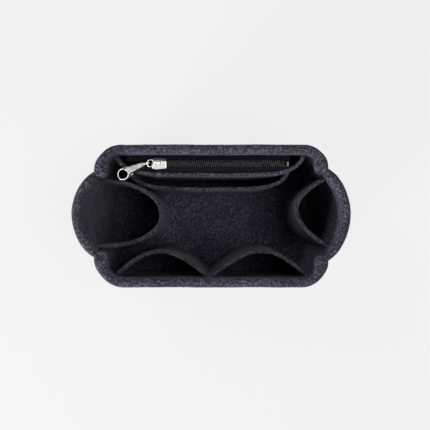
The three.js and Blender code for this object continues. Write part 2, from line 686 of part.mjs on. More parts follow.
// Its own frame has the eye's axis along Y and the bar along +X.
function pullTab() {
  const ringHole = rod(RING_HOLE_RADIUS, 2 * PULL_WIDTH).rotateX(Math.PI / 2).translate(PULL_LENGTH, 0, 0);
  const bar = toSolid(pullBar()).subtract(toSolid(ringHole));
  const ring = toSolid(pullRing().translate(PULL_LENGTH, 0, 0));
  const eye = toSolid(rod(EYE_RADIUS, EYE_WIDTH));
  return bar.add(eye).add(ring).subtract(toSolid(rod(EYE_HOLE_RADIUS, 2 * PULL_WIDTH)));
}

// Finishes

function felt() {
  return new THREE.MeshStandardMaterial({ color: 0x4a4952, roughness: 0.98, metalness: 0 });
}

function tapeCloth() {
  return new THREE.MeshStandardMaterial({ color: 0x1e1e22, roughness: 0.85, metalness: 0 });
}

function nylon() {
  return new THREE.MeshStandardMaterial({ color: 0x17171a, roughness: 0.4, metalness: 0 });
}

function nickel() {
  return new THREE.MeshStandardMaterial({ color: 0xc9c6c2, roughness: 0.16, metalness: 1 });
}

// Assembly

function piece(name, geometry, material) {
  const mesh = new THREE.Mesh(geometry, material);
  mesh.name = name;
  return mesh;
}

function shell() {
  return new THREE.Group().add(
    piece('base_panel', toGeometry(basePanel()), felt()),
    piece('front_panel', toGeometry(wrapPanel(-1)), felt()),
    piece('back_panel', toGeometry(wrapPanel(1)), felt()),
    piece('left_side_panel', toGeometry(sidePanel(-1)), felt()),
    piece('right_side_panel', toGeometry(sidePanel(1)), felt()),
  );
}

function pockets() {
  return new THREE.Group().add(
    piece('left_pocket_panel', toGeometry(leftPocket()), felt()),
    piece('right_pocket_panel', toGeometry(rightPocket()), felt()),
    piece('front_pocket_panel', toGeometry(frontPocket()), felt()),
    piece('zip_pocket_panel', toGeometry(zipPocket()), felt()),
    piece('slip_pocket_panel', toGeometry(slipPocket()), felt()),
  );
}

function chain() {
  const stop = (name, width, left, offset) => {
    const block = piece(name, stopBlock(width), nickel());
    block.position.set(left + STOP_LENGTH / 2, CHAIN_Y + offset, TAPE_TOP);
    return block;
  };
  const topOffset = (TAPE_SLIT + TOP_STOP_WIDTH) / 2;
  const topLeft = TOP_STOP_RIGHT - STOP_LENGTH;
  return new THREE.Group().add(
    piece('rear_zip_tape', toGeometry(rearTape()), tapeCloth()),
    piece('front_zip_tape', toGeometry(frontTape()), tapeCloth()),
    piece('rear_zip_coil', toGeometry(coil(1)), nylon()),
    piece('front_zip_coil', toGeometry(coil(-1)), nylon()),
    stop('rear_top_stop', TOP_STOP_WIDTH, topLeft, topOffset),
    stop('front_top_stop', TOP_STOP_WIDTH, topLeft, -topOffset),
    stop('bottom_stop', BOTTOM_STOP_WIDTH, BOTTOM_STOP_LEFT, 0),
  );
}

function slider() {
  const group = new THREE.Group();
  group.position.set(SLIDER_X, CHAIN_Y, TAPE_TOP);
  const link = piece('pull_link', pullLink(), nickel());
  link.position.set(LINK_X, 0, LINK_Z);
  const pull = piece('pull_tab', toGeometry(pullTab()), nickel());
  pull.position.set(LINK_X - LINK_LENGTH, 0, LINK_Z);
  const heading = THREE.MathUtils.degToRad(180 + PULL_YAW);
  pull.rotation.set(0, THREE.MathUtils.degToRad(PULL_TILT), heading, 'ZYX');
  return group.add(
    piece('slider_body', toGeometry(sliderBody()), nickel()),
    piece('slider_crown', crown(), nickel()),
    link,
    pull,
  );
}

const organizer = new THREE.Group();
organizer.add(shell(), pockets(), chain(), slider());

export default organizer;
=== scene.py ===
"""Looks of a felt purse organizer insert: felt shell, sewn-in pockets, zipper, slider and pull.

Metres. +X runs along the length, +Y towards the zipped back wall, +Z up.
"""

import json
import logging
import math
from dataclasses import dataclass
from enum import Enum, IntEnum
from typing import Any, Callable, Sequence

import bmesh
import bpy
import numpy as np
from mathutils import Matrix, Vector


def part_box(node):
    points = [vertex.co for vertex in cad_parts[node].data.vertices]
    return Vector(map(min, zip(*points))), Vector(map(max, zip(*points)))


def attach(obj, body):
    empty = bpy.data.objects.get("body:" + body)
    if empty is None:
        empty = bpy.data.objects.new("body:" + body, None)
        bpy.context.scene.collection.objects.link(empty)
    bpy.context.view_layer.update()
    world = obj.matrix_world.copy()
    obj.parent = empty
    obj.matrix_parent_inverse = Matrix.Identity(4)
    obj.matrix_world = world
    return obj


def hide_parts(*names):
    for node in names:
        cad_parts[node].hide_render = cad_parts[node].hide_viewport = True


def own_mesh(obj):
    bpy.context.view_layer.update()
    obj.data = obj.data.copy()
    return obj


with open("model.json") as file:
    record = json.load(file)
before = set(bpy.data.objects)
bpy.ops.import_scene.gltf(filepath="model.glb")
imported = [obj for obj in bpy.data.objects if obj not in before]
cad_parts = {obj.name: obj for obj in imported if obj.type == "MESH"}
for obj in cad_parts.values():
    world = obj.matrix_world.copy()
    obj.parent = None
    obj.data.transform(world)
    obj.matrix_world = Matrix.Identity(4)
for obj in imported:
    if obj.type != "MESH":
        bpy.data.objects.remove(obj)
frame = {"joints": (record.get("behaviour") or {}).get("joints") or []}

Array = np.ndarray
Colour = tuple[float, float, float]
Faces = list[tuple[int, ...]]
Outline = list[tuple[float, float]]
Band = tuple[float, float]
Mesh = bpy.types.Mesh
Piece = bpy.types.Object
Socket = bpy.types.NodeSocket
Sockets = dict[str, Socket]
Inputs = dict[str | int, object]
PlanLine = Callable[[float], Array]
FLOAT = "NodeSocketFloat"
COLOUR = "NodeSocketColor"
VECTOR = "NodeSocketVector"
LOG = logging.getLogger("organizer")
MERGE_DISTANCE = 1e-7
LEAST_SQUARE = 1e-10
WIRE_TIP = 0.5
RIPPLE_ENDS = 0.5
# Weight, pace, turn by the seed and shift of a ripple's slow part and of its quick part.
RIPPLE_PARTS = ((0.65, 1.0, 1.7, 0.0), (0.35, 2.3, 3.1, 0.6))


class Side(IntEnum):
    """End of the organizer, as the sign of its X."""

    LEFT = -1
    RIGHT = 1


class Face(IntEnum):
    """Long wall of the organizer, as the sign of its Y."""

    FRONT = -1
    BACK = 1


class Body(Enum):
    """Rigid body that a piece rides on."""

    ORGANIZER = "organizer"
    SLIDER = "slider"
    LINK = "link"
    PULL = "pull"


class Slot(Enum):
    """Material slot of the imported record."""

    SHELL_FELT = "shell_felt"
    POCKET_FELT = "pocket_felt"
    ZIP_TAPE = "zip_tape"
    ZIP_COIL = "zip_coil"
    NICKEL = "nickel"


class ChainPart(Enum):
    """Part of the zipper's chain, before or after the place where the slider's travel ends."""

    OPEN = "open"
    CLOSED = "closed"


def find_joint(name: str) -> dict[str, Any]:
    """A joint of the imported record."""
    return next(joint for joint in frame["joints"] if joint["name"] == name)


# Lines and sections


def smooth_step(low: float, high: float, value: Array) -> Array:
    """Eases from 0 at low to 1 at high."""
    share = np.clip((value - low) / (high - low), 0.0, 1.0)
    return share * share * (3.0 - 2.0 * share)


def signed_power(values: Array, power: float) -> Array:
    """Power of each value's size, with the value's own sign."""
    return np.sign(values) * np.abs(values) ** power


def round_angles(count: int) -> Array:
    """Angles spread evenly round a circle."""
    return np.linspace(0.0, 2.0 * np.pi, count, endpoint=False)


def even_points(points: Array, count: int) -> Array:
    """Spreads a number of points evenly along a line.

    Args:
        points: Corners of the line, one row each.
        count: Number of points wanted.

    Returns:
        The new points, one row each.
    """
    steps = np.linalg.norm(np.diff(points, axis=0), axis=1)
    reach = np.concatenate([[0.0], np.cumsum(steps)])
    places = np.linspace(0.0, reach[-1], count)
    return np.stack([np.interp(places, reach, column) for column in points.T], axis=1)


def line_length(points: Array) -> float:
    """Length of a line of points."""
    return float(np.linalg.norm(np.diff(points, axis=0), axis=1).sum())


def directions(points: Array) -> Array:
    """Unit direction of travel at each point of a line."""
    along = np.gradient(points, axis=0)
    return along / np.linalg.norm(along, axis=1, keepdims=True)


def left_of(along: Array) -> Array:
    """Flat directions a quarter turn to the left of the given ones."""
    return np.stack([-along[..., 1], along[..., 0]], axis=-1)


def ripple(shares: Array, seed: float, waves: float = 3.0) -> Array:
    """Slow, uneven wave between about -1 and 1 that dies out at both ends.

    Args:
        shares: Places along the piece, from 0 to 1.
        seed: Number that sets this piece's own wave.
        waves: Rough number of waves over the piece.

    Returns:
        The wave's height at each place.
    """
    height = np.zeros(len(shares))
    for weight, pace, turn, shift in RIPPLE_PARTS:
        height += weight * np.sin(2.0 * np.pi * pace * waves * shares + turn * seed + shift)
    return height * np.sin(np.pi * np.clip(shares, 0.0, 1.0)) ** RIPPLE_ENDS


def mirrored(edge: Outline, middle: Outline) -> Outline:
    """An edge on the negative side, the middle, and the same edge back on the positive side."""
    return [(-y, z) for y, z in edge] + middle + edge[::-1]


# Meshes


def mesh_from(name: str, points: Array, faces: Faces, crease: float | None = None) -> Mesh:
    """Makes a mesh whose faces all point outwards.

    Args:
        name: Name of the mesh.
        points: Vertices, one row each.
        faces: Vertex numbers of each face.
        crease: Angle in degrees beyond which an edge stays sharp; None rounds every edge.

    Returns:
        The new mesh, smooth shaded.
    """
    mesh = bpy.data.meshes.new(name)
    mesh.from_pydata(points.reshape(-1, 3).tolist(), [], faces)
    work = bmesh.new()
    work.from_mesh(mesh)
    bmesh.ops.remove_doubles(work, verts=work.verts, dist=MERGE_DISTANCE)
    bmesh.ops.recalc_face_normals(work, faces=work.faces)
    work.to_mesh(mesh)
    work.free()
    mesh.shade_smooth()
    if crease is not None:
        mesh.set_sharp_from_angle(angle=math.radians(crease))
    return mesh


def join_meshes(first: Mesh, *others: Mesh) -> Mesh:
    """Adds the faces of other meshes to a first one.

    Args:
        first: Mesh that is kept.
        others: Meshes that are added and then removed.

    Returns:
        The first mesh.
    """
    work = bmesh.new()
    for mesh in (first, *others):
        work.from_mesh(mesh)
    work.to_mesh(first)
    work.free()
    for mesh in others:
        bpy.data.meshes.remove(mesh)
    return first


def grid_faces(rows: int, columns: int, close_rows: bool = False) -> Faces:
    """Quads of a grid of points whose columns close on themselves.

    Args:
        rows: Number of rows.
        columns: Number of points in each row.
        close_rows: Whether the last row joins the first.

    Returns:
        Vertex numbers of each quad.
    """
    faces = []
    for row in range(rows if close_rows else rows - 1):
        here = row * columns
        there = ((row + 1) % rows) * columns
        for column in range(columns):
            after = (column + 1) % columns
            faces.append((here + column, here + after, there + after, there + column))
    return faces


def paired_cap(start: int, columns: int) -> Faces:
    """Quads that close a ring by joining point i with its mate at columns - 1 - i."""
    last = start + columns - 1
    return [(start + i, start + i + 1, last - i - 1, last - i) for i in range(columns // 2 - 1)]


def band_faces(rows: int, columns: int) -> Faces:
    """Quads of a swept ring of paired points, with both ends closed."""
    caps = paired_cap(0, columns) + paired_cap((rows - 1) * columns, columns)
    return grid_faces(rows, columns) + caps


def tube_faces(rows: int, columns: int) -> Faces:
    """Quads of a swept ring, with one face across each end."""
    last = (rows - 1) * columns
    return grid_faces(rows, columns) + [tuple(range(columns)), tuple(range(last, last + columns))]


@dataclass
class FeltStrip:
    """A standing strip of felt, swept along a plan line that may change with the height.

    The section lists offsets to the left of the line and heights, up one face and down the other, so
    that each point has its mate at the same place from the list's end. The ease is given places along
    the strip, from 0 to 1, and the section at each of them, which it reshapes in place.
    """

    line: PlanLine
    section: Array
    end_round: Array
    end_drop: Array
    ease: Callable[[Array, Array], None]
    spacing: float = 0.0015
    end_steps: int = 4
    end_turn: float = 0.48 * math.pi

    def mesh(self, name: str) -> Mesh:
        """Builds the closed strip.

        Args:
            name: Name of the mesh.

        Returns:
            The new mesh.
        """
        middle = self.line(float(self.section[:, 1].mean()))
        count = round(line_length(middle) / self.spacing)
        lines = [even_points(self.line(z), count) for z in self.section[:, 1]]
        along = np.stack([directions(points) for points in lines], axis=1)
        plan = np.stack(lines, axis=1)
        left = left_of(along)
        shaped = np.repeat(self.section[None], count, axis=0)
        self.ease(np.linspace(0.0, 1.0, count), shaped)
        rows = [self._row(plan[i], left[i], shaped[i]) for i in range(count)]
        head = self._end(plan[0], left[0], -along[0], shaped[0])
        tail = self._end(plan[-1], left[-1], along[-1], shaped[-1])
        rows = head[::-1] + rows + tail
        return mesh_from(name, np.stack(rows), band_faces(len(rows), len(self.section)))

    @staticmethod
    def _row(plan: Array, left: Array, shaped: Array) -> Array:
        """Points of one cross-section of the strip."""
        return np.concatenate([plan + left * shaped[:, :1], shaped[:, 1:]], axis=1)

    def _end(self, plan: Array, left: Array, outward: Array, shaped: Array) -> list[Array]:
        """Cross-sections that round off one end.

        Args:
            plan: Plan points of the end's cross-section.
            left: Directions to the left there.
            outward: Directions out of the strip's end.
            shaped: Offsets and heights of the end's cross-section.

        Returns:
            The cross-sections, going outwards.
        """
        mates = (shaped + shaped[::-1]) / 2.0
        rows = []
        for step in range(1, self.end_steps + 1):
            angle = self.end_turn * step / self.end_steps
            squeezed = mates.copy()
            squeezed[:, 0] += (shaped[:, 0] - mates[:, 0]) * math.cos(angle)
            squeezed[:, 1] -= self.end_drop * (1.0 - math.cos(angle))
            pushed = plan + outward * (self.end_round * math.sin(angle))[:, None]
            rows.append(self._row(pushed, left, squeezed))
        return rows


def tube_points(path: Array, radii: Array, sides: int, closed: bool = False) -> Array:
    """Rings of a tube along a path that doesn't start upright, without twist.

    Args:
        path: Middle line, one row each.
        radii: Radius at each point of the path.
        sides: Number of points round the tube.
        closed: Whether the path closes on itself.

    Returns:
        Points by ring and by side.
    """
    along = directions(path)
    if closed:
        along = np.roll(path, -1, axis=0) - np.roll(path, 1, axis=0)
        along /= np.linalg.norm(along, axis=1, keepdims=True)
    across = np.cross(along[0], (0.0, 0.0, 1.0))
    angles = round_angles(sides)
    rings = []
    for point, forward, radius in zip(path, along, radii):
        across = across - forward * np.dot(across, forward)
        across = across / np.linalg.norm(across)
        up = np.cross(forward, across)
        rings.append(point + radius * (np.outer(np.cos(angles), across) + np.outer(np.sin(angles), up)))
    return np.stack(rings)


def tube_mesh(name: str, path: Array, radius: float, sides: int, closed: bool = False) -> Mesh:
    """A round wire along a path, thinner at its open ends.

    Args:
        name: Name of the mesh.
        path: Middle line, one row each.
        radius: Radius of the wire.
        sides: Number of points round the wire.
        closed: Whether the path closes on itself.

    Returns:
        The new mesh.
    """
    count = len(path)
    radii = np.full(count, radius)
    if not closed:
        radii[[0, -1]] *= WIRE_TIP
    faces = grid_faces(count, sides, close_rows=True) if closed else tube_faces(count, sides)
    return mesh_from(name, tube_points(path, radii, sides, closed), faces)


# Material nodes


class NodeBench:
    """Adds nodes to one node tree and wires them."""

    columns: int = 12
    spacing: tuple[float, float] = (220.0, 180.0)

    def __init__(self, tree: bpy.types.NodeTree) -> None:
        """Keeps the tree that nodes go into."""
        self.tree = tree

    def add(
        self, kind: str, inputs: Inputs | None = None, **settings: object
    ) -> bpy.types.Node:
        """Adds a node.

        Args:
            kind: Blender's name of the node type.
            inputs: Values or sockets by input name or number.
            settings: Properties of the node.

        Returns:
            The new node.
        """
        node = self.tree.nodes.new(kind)
        down, along = divmod(len(self.tree.nodes), self.columns)
        node.location = (self.spacing[0] * along, -self.spacing[1] * down)
        for key, value in settings.items():
            setattr(node, key, value)
        self.feed(node, inputs or {})
        return node

    def feed(self, node: bpy.types.Node, inputs: Inputs) -> None:
        """Sets a node's own values and wires sockets to it.

        Args:
            node: The node.
            inputs: Values or sockets by input name or number.
        """
        for key, value in inputs.items():
            if isinstance(value, Socket):
                self.tree.links.new(value, node.inputs[key])
            else:
                node.inputs[key].default_value = value

    def math(self, operation: str, *values: object) -> Socket:
        """Result of a Math node."""
        return self.add("ShaderNodeMath", dict(enumerate(values)), operation=operation).outputs[0]

    def vector(self, operation: str, *values: object) -> Socket:
        """Vector result of a Vector Math node."""
        return self.add("ShaderNodeVectorMath", dict(enumerate(values)), operation=operation).outputs[0]

    def noise(self, place: object, scale: object, detail: float = 2.0, rough: float = 0.5) -> Socket:
        """Value of a noise texture."""
        inputs = {"Vector": place, "Scale": scale, "Detail": detail, "Roughness": rough}
        return self.add("ShaderNodeTexNoise", inputs).outputs[0]

    def spread(self, value: object, band: Band, ends: tuple[object, object] = (0.0, 1.0)) -> Socket:
        """Clamped, smooth remapping of a value from a band to two ends."""
        inputs = dict(enumerate((value, *band, *ends)))
        return self.add("ShaderNodeMapRange", inputs, interpolation_type="SMOOTHSTEP").outputs[0]

    def mix(self, share: object, first: object, second: object) -> Socket:
        """Mix of two colours."""
        return self.add("ShaderNodeMix", {0: share, 6: first, 7: second}, data_type="RGBA").outputs[2]

    def bump(self, height: object, depth: float, share: float) -> Socket:
        """Normal of a relief of a given depth, of which a share shows."""
        inputs = {"Height": height, "Distance": depth, "Strength": share}
        return self.add("ShaderNodeBump", inputs).outputs[0]


class GroupBuilder:
    """Base of the shared effects: each is one node group, built once and placed in several materials."""

    name: str = ""
    inputs: tuple[tuple[str, str], ...] = ()
    outputs: tuple[tuple[str, str], ...] = ()

    def tree(self) -> bpy.types.NodeTree:
        """The effect's node group, built at its first use."""
        found = bpy.data.node_groups.get(self.name)
        return found if found is not None else self._make()

    def _make(self) -> bpy.types.NodeTree:
        """Builds the group's sockets and then its nodes.

        Returns:
            The new node group.
        """
        tree = bpy.data.node_groups.new(self.name, "ShaderNodeTree")
        for socket, kind in self.inputs:
            tree.interface.new_socket(name=socket, in_out="INPUT", socket_type=kind)
        for socket, kind in self.outputs:
            tree.interface.new_socket(name=socket, in_out="OUTPUT", socket_type=kind)
        bench = NodeBench(tree)
        entry = bench.add("NodeGroupInput")
        leave = bench.add("NodeGroupOutput")
        bench.feed(leave, self.fill(bench, entry.outputs))
        return tree

    def fill(self, bench: NodeBench, given: bpy.types.NodeOutputs) -> Sockets:
        """Adds the effect's own nodes and returns its outputs by name."""
        raise NotImplementedError

    def place(self, bench: NodeBench, inputs: dict[str, object]) -> bpy.types.Node:
        """Puts the group into a material, given values or sockets by input name."""
        return bench.add("ShaderNodeGroup", inputs, node_tree=self.tree())


class FeltFibres(GroupBuilder):
    """Matted wool: flecks of three shades and loose fibres that lie in every direction."""

    name = "felt_fibres"
    inputs = (
        ("Place", VECTOR),
        ("Dark", COLOUR),
        ("Middle", COLOUR),
        ("Pale", COLOUR),
        ("Fleck Size", FLOAT),
        ("Fibre Size", FLOAT),
    )
    outputs = (("Color", COLOUR), ("Height", FLOAT))
    bend_scale = 260.0
    bend_reach = 0.0035
    strand_shapes = ((1.0, 0.13, 0.16), (0.15, 1.0, 0.13), (0.13, 0.16, 1.0))
    fleck_roughness = 0.62
    mottle_scale = 0.09
    usual_fibre = 0.62
    usual_mottle = 0.5
    fibre_weight = 0.75
    mottle_weight = 0.22
    dark_band = (0.36, 0.5)
    pale_band = (0.5, 0.67)
    fibre_relief = 0.7
    fleck_relief = 0.5

    def fill(self, bench: NodeBench, given: bpy.types.NodeOutputs) -> Sockets:
        """Adds the nodes of flecks, fibres and slow mottling.

        Args:
            bench: Bench of the group.
            given: The group's inputs.

        Returns:
            The outputs by name.
        """
        place = given["Place"]
        fleck_scale = bench.math("DIVIDE", 1.0, given["Fleck Size"])
        fibre_scale = bench.math("DIVIDE", 1.0, given["Fibre Size"])
        field = bench.add("ShaderNodeTexNoise", {"Vector": place, "Scale": self.bend_scale, "Detail": 1.0})
        centred = bench.vector("SUBTRACT", field.outputs["Color"], (0.5, 0.5, 0.5))
        reach = {0: centred, "Scale": self.bend_reach}
        bend = bench.add("ShaderNodeVectorMath", reach, operation="SCALE").outputs[0]
        bent = bench.vector("ADD", place, bend)
        strands = []
        for shape in self.strand_shapes:
            strands.append(bench.noise(bench.vector("MULTIPLY", bent, shape), fibre_scale, 1.0))
        fibres = bench.math("MAXIMUM", bench.math("MAXIMUM", strands[0], strands[1]), strands[2])
        flecks = bench.noise(place, fleck_scale, 3.0, self.fleck_roughness)
        mottle = bench.noise(place, bench.math("MULTIPLY", fleck_scale, self.mottle_scale))
        shade = flecks
        for layer, usual, weight in (
            (fibres, self.usual_fibre, self.fibre_weight),
            (mottle, self.usual_mottle, self.mottle_weight),
        ):
            shade = bench.math("MULTIPLY_ADD", bench.math("SUBTRACT", layer, usual), weight, shade)
        lifted = bench.mix(bench.spread(shade, self.dark_band), given["Dark"], given["Middle"])
        colour = bench.mix(bench.spread(shade, self.pale_band), lifted, given["Pale"])
        low = bench.math("MULTIPLY", flecks, self.fleck_relief)
        return {"Color": colour, "Height": bench.math("MULTIPLY_ADD", fibres, self.fibre_relief, low)}


class Lint(GroupBuilder):
    """Specks of lint and dust that gather on cloth."""

    name = "lint_specks"
    inputs = (("Place", VECTOR), ("Color", COLOUR), ("Amount", FLOAT))
    outputs = (("Color", COLOUR),)
    speck_scale = 330.0
    speck_band = (0.16, 0.05)
    patch_scale = 90.0
    patch_band = (0.56, 0.68)
    dust = (0.34, 0.34, 0.36)

    def fill(self, bench: NodeBench, given: bpy.types.NodeOutputs) -> Sockets:
        """Adds the nodes of the specks.

        Args:
            bench: Bench of the group.
            given: The group's inputs.

        Returns:
            The outputs by name.
        """
        cells = bench.add("ShaderNodeTexVoronoi", {"Vector": given["Place"], "Scale": self.speck_scale})
        near = bench.spread(cells.outputs["Distance"], self.speck_band)
        chosen = bench.spread(bench.noise(given["Place"], self.patch_scale), self.patch_band)
        share = bench.math("MULTIPLY", bench.math("MULTIPLY", near, chosen), given["Amount"])
        return {"Color": bench.mix(share, given["Color"], opaque(self.dust))}


class Weave(GroupBuilder):
    """Crossing threads with a zigzag twill over them."""

    name = "thread_weave"
    inputs = (
        ("Along", FLOAT),
        ("Across", FLOAT),
        ("Pitch", FLOAT),
        ("Thread", COLOUR),
        ("Gap", COLOUR),
    )
    outputs = (("Color", COLOUR), ("Height", FLOAT))
    twill_run = 0.0016
    twill_turns = 0.5
    twill_weight = 0.6
    thread_band = (-0.9, 1.1)

    def fill(self, bench: NodeBench, given: bpy.types.NodeOutputs) -> Sockets:
        """Adds the nodes of warp, weft and the zigzag of the twill.

        Args:
            bench: Bench of the group.
            given: The group's inputs.

        Returns:
            The outputs by name.
        """
        turns = bench.math("DIVIDE", 2.0 * math.pi, given["Pitch"])
        warp = bench.math("SINE", bench.math("MULTIPLY", given["Along"], turns))
        weft = bench.math("SINE", bench.math("MULTIPLY", given["Across"], turns))
        zigzag = bench.math("PINGPONG", given["Across"], self.twill_run)
        slope = bench.math("ADD", given["Along"], zigzag)
        wide = bench.math("MULTIPLY", turns, self.twill_turns)
        twill = bench.math("SINE", bench.math("MULTIPLY", slope, wide))
        cross = bench.math("MULTIPLY", warp, weft)
        height = bench.math("MULTIPLY_ADD", twill, self.twill_weight, cross)
        colour = bench.mix(bench.spread(height, self.thread_band), given["Gap"], given["Thread"])
        return {"Color": colour, "Height": height}


class Scuffs(GroupBuilder):
    """Handling marks: hairline scratches and smudges, with dirt and painted shade in hollows."""

    name = "handling_scuffs"
    inputs = (("Place", VECTOR), ("Polish", FLOAT), ("Dullness", FLOAT))
    outputs = (("Roughness", FLOAT), ("Height", FLOAT), ("Grime", FLOAT))
    scratch_shape = (1.0, 9.0, 4.0)
    scratch_scale = 900.0
    scratch_roughness = 0.7
    scratch_band = (0.6, 0.72)
    scratch_weight = 0.35
    smudge_scale = 240.0
    dull_band = (0.3, 0.95)
    hollow_band = (0.49, 0.44)
    grime_and_shade_band = (0.25, 0.7)

    def fill(self, bench: NodeBench, given: bpy.types.NodeOutputs) -> Sockets:
        """Adds the nodes of scratches, smudges, and dirt with painted shade in hollows.

        Args:
            bench: Bench of the group.
            given: The group's inputs.

        Returns:
            The outputs by name.
        """
        stretched = bench.vector("MULTIPLY", given["Place"], self.scratch_shape)
        marks = bench.noise(stretched, self.scratch_scale, 3.0, self.scratch_roughness)
        scratches = bench.spread(marks, self.scratch_band)
        smudges = bench.noise(given["Place"], self.smudge_scale, 3.0)
        dull = bench.math("MULTIPLY_ADD", scratches, self.scratch_weight, smudges)
        rough = bench.spread(dull, self.dull_band, (given["Polish"], given["Dullness"]))
        # Painted shade and dirt: hollows found from the mesh's pointiness, in patches of the smudge noise,
        # darken the plate.
        edges = bench.add("ShaderNodeNewGeometry").outputs["Pointiness"]
        hollows = bench.spread(edges, self.hollow_band)
        grime = bench.math("MULTIPLY", hollows, bench.spread(smudges, self.grime_and_shade_band))
        return {"Roughness": rough, "Height": scratches, "Grime": grime}


# Finishes


def opaque(colour: Colour) -> tuple[float, float, float, float]:
    """Colour with full alpha."""
    return (*colour, 1.0)


@dataclass(frozen=True)
class Finish:
    """Base of the finishes: a named material with one surface shader."""

    name: str

    def material(self) -> bpy.types.Material:
        """The finish's material, built at its first use."""
        found = bpy.data.materials.get(self.name)
        return found if found is not None else self._make()

    def _make(self) -> bpy.types.Material:
        """Builds the material.

        Returns:
            The new material.
        """
        material = bpy.data.materials.new(self.name)
        material.use_nodes = True
        bench = NodeBench(material.node_tree)
        place = bench.add("ShaderNodeTexCoord").outputs["Object"]
        bench.feed(material.node_tree.nodes["Principled BSDF"], self.surface(bench, place))
        return material

    def surface(self, bench: NodeBench, place: Socket) -> dict[str, object]:
        """Adds the finish's nodes and returns the surface shader's inputs by name."""
        raise NotImplementedError


@dataclass(frozen=True)
class FeltFinish(Finish):
    """Charcoal melange felt."""

    dark: Colour = (0.028, 0.027, 0.037)
    middle: Colour = (0.078, 0.074, 0.102)
    pale: Colour = (0.196, 0.187, 0.243)
    fleck: float = 0.0018
    fibre: float = 0.0005
    relief: float = 0.0004
    relief_share: float = 0.8
    lint: float = 0.35
    roughness: float = 0.95
    specular: float = 0.15
    sheen: float = 0.12
    sheen_roughness: float = 0.6
    sheen_tint: Colour = (0.6, 0.6, 0.66)

    def surface(self, bench: NodeBench, place: Socket) -> dict[str, object]:
        """Wires flecks, fibres and lint.

        Args:
            bench: Bench of the material.
            place: Place on the piece.

        Returns:
            The shader's inputs by name.
        """
        felt = FeltFibres().place(bench, {
            "Place": place,
            "Dark": opaque(self.dark),
            "Middle": opaque(self.middle),
            "Pale": opaque(self.pale),
            "Fleck Size": self.fleck,
            "Fibre Size": self.fibre,
        })
        lint = Lint().place(bench, {"Place": place, "Color": felt.outputs["Color"], "Amount": self.lint})
        return {
            "Base Color": lint.outputs["Color"],
            "Roughness": self.roughness,
            "Specular IOR Level": self.specular,
            "Sheen Weight": self.sheen,
            "Sheen Roughness": self.sheen_roughness,
            "Sheen Tint": opaque(self.sheen_tint),
            "Normal": bench.bump(felt.outputs["Height"], self.relief, self.relief_share),
        }


@dataclass(frozen=True)
class WovenFinish(Finish):
    """Cloth or cord of many threads."""

    thread: Colour
    gap: Colour
    pitch: float
    relief: float
    relief_share: float
    roughness: float
    specular: float
    lint: float

    def surface(self, bench: NodeBench, place: Socket) -> dict[str, object]:
        """Wires the threads and lint.

        Args:
            bench: Bench of the material.
            place: Place on the piece.

        Returns:
            The shader's inputs by name.
        """
        axes = bench.add("ShaderNodeSeparateXYZ", {0: place}).outputs
        weave = Weave().place(bench, {
            "Along": axes["X"],
            "Across": bench.math("ADD", axes["Y"], axes["Z"]),
            "Pitch": self.pitch,
            "Thread": opaque(self.thread),
            "Gap": opaque(self.gap),
        })
        lint = Lint().place(bench, {"Place": place, "Color": weave.outputs["Color"], "Amount": self.lint})
        return {
            "Base Color": lint.outputs["Color"],
            "Roughness": self.roughness,
            "Specular IOR Level": self.specular,
            "Normal": bench.bump(weave.outputs["Height"], self.relief, self.relief_share),
        }


@dataclass(frozen=True)
class NylonFinish(Finish):
    """Black nylon coil, with painted shade on its lower strands and a painted highlight on the crests of
    its turns.
    """

    foot: float
    crest: float
    # Painted shade of the lower strands; the crests take a painted highlight.
    deep: Colour = (0.003, 0.003, 0.004)
    crest_highlight: Colour = (0.135, 0.135, 0.145)
    highlight_from: float = 0.7
    patch_scale: float = 700.0
    patch_band: Band = (0.25, 0.65)
    polish: float = 0.35
    dullness: float = 0.6
    specular: float = 0.1
    relief: float = 0.00003
    relief_share: float = 0.4

    def surface(self, bench: NodeBench, place: Socket) -> dict[str, object]:
        """Wires the painted shade and crest highlight, and the uneven gloss.

        Args:
            bench: Bench of the material.
            place: Place on the piece.

        Returns:
            The shader's inputs by name.
        """
        marks = {"Place": place, "Polish": self.polish, "Dullness": self.dullness}
        scuffs = Scuffs().place(bench, marks).outputs
        level = bench.add("ShaderNodeSeparateXYZ", {0: place}).outputs["Z"]
        # Painted highlight: paler from part way up each turn to its crest, in patches.
        start = self.foot + self.highlight_from * (self.crest - self.foot)
        patches = bench.spread(bench.noise(place, self.patch_scale), self.patch_band)
        crest_highlight = bench.math("MULTIPLY", bench.spread(level, (start, self.crest)), patches)
        return {
            "Base Color": bench.mix(crest_highlight, opaque(self.deep), opaque(self.crest_highlight)),
            "Roughness": scuffs["Roughness"],
            "Specular IOR Level": self.specular,
            "Normal": bench.bump(scuffs["Height"], self.relief, self.relief_share),
        }


@dataclass(frozen=True)
class NickelFinish(Finish):
    """Polished nickel plate with light handling marks."""

    plate: Colour = (0.79, 0.765, 0.735)
    # Colour of dirt and painted shade in hollows.
    grime: Colour = (0.2, 0.17, 0.15)
    polish: float = 0.1
    dullness: float = 0.3
    relief: float = 0.00002
    relief_share: float = 0.25

    def surface(self, bench: NodeBench, place: Socket) -> dict[str, object]:
        """Wires scratches, smudges, and dirt with painted shade in hollows.

        Args:
            bench: Bench of the material.
            place: Place on the piece.

        Returns:
            The shader's inputs by name.
        """
        marks = {"Place": place, "Polish": self.polish, "Dullness": self.dullness}
        scuffs = Scuffs().place(bench, marks).outputs
        return {
            # Painted shade and dirt: the plate darkens in hollows.
            "Base Color": bench.mix(scuffs["Grime"], opaque(self.plate), opaque(self.grime)),
            "Roughness": scuffs["Roughness"],
            "Metallic": 1.0,
            "Normal": bench.bump(scuffs["Height"], self.relief, self.relief_share),
        }


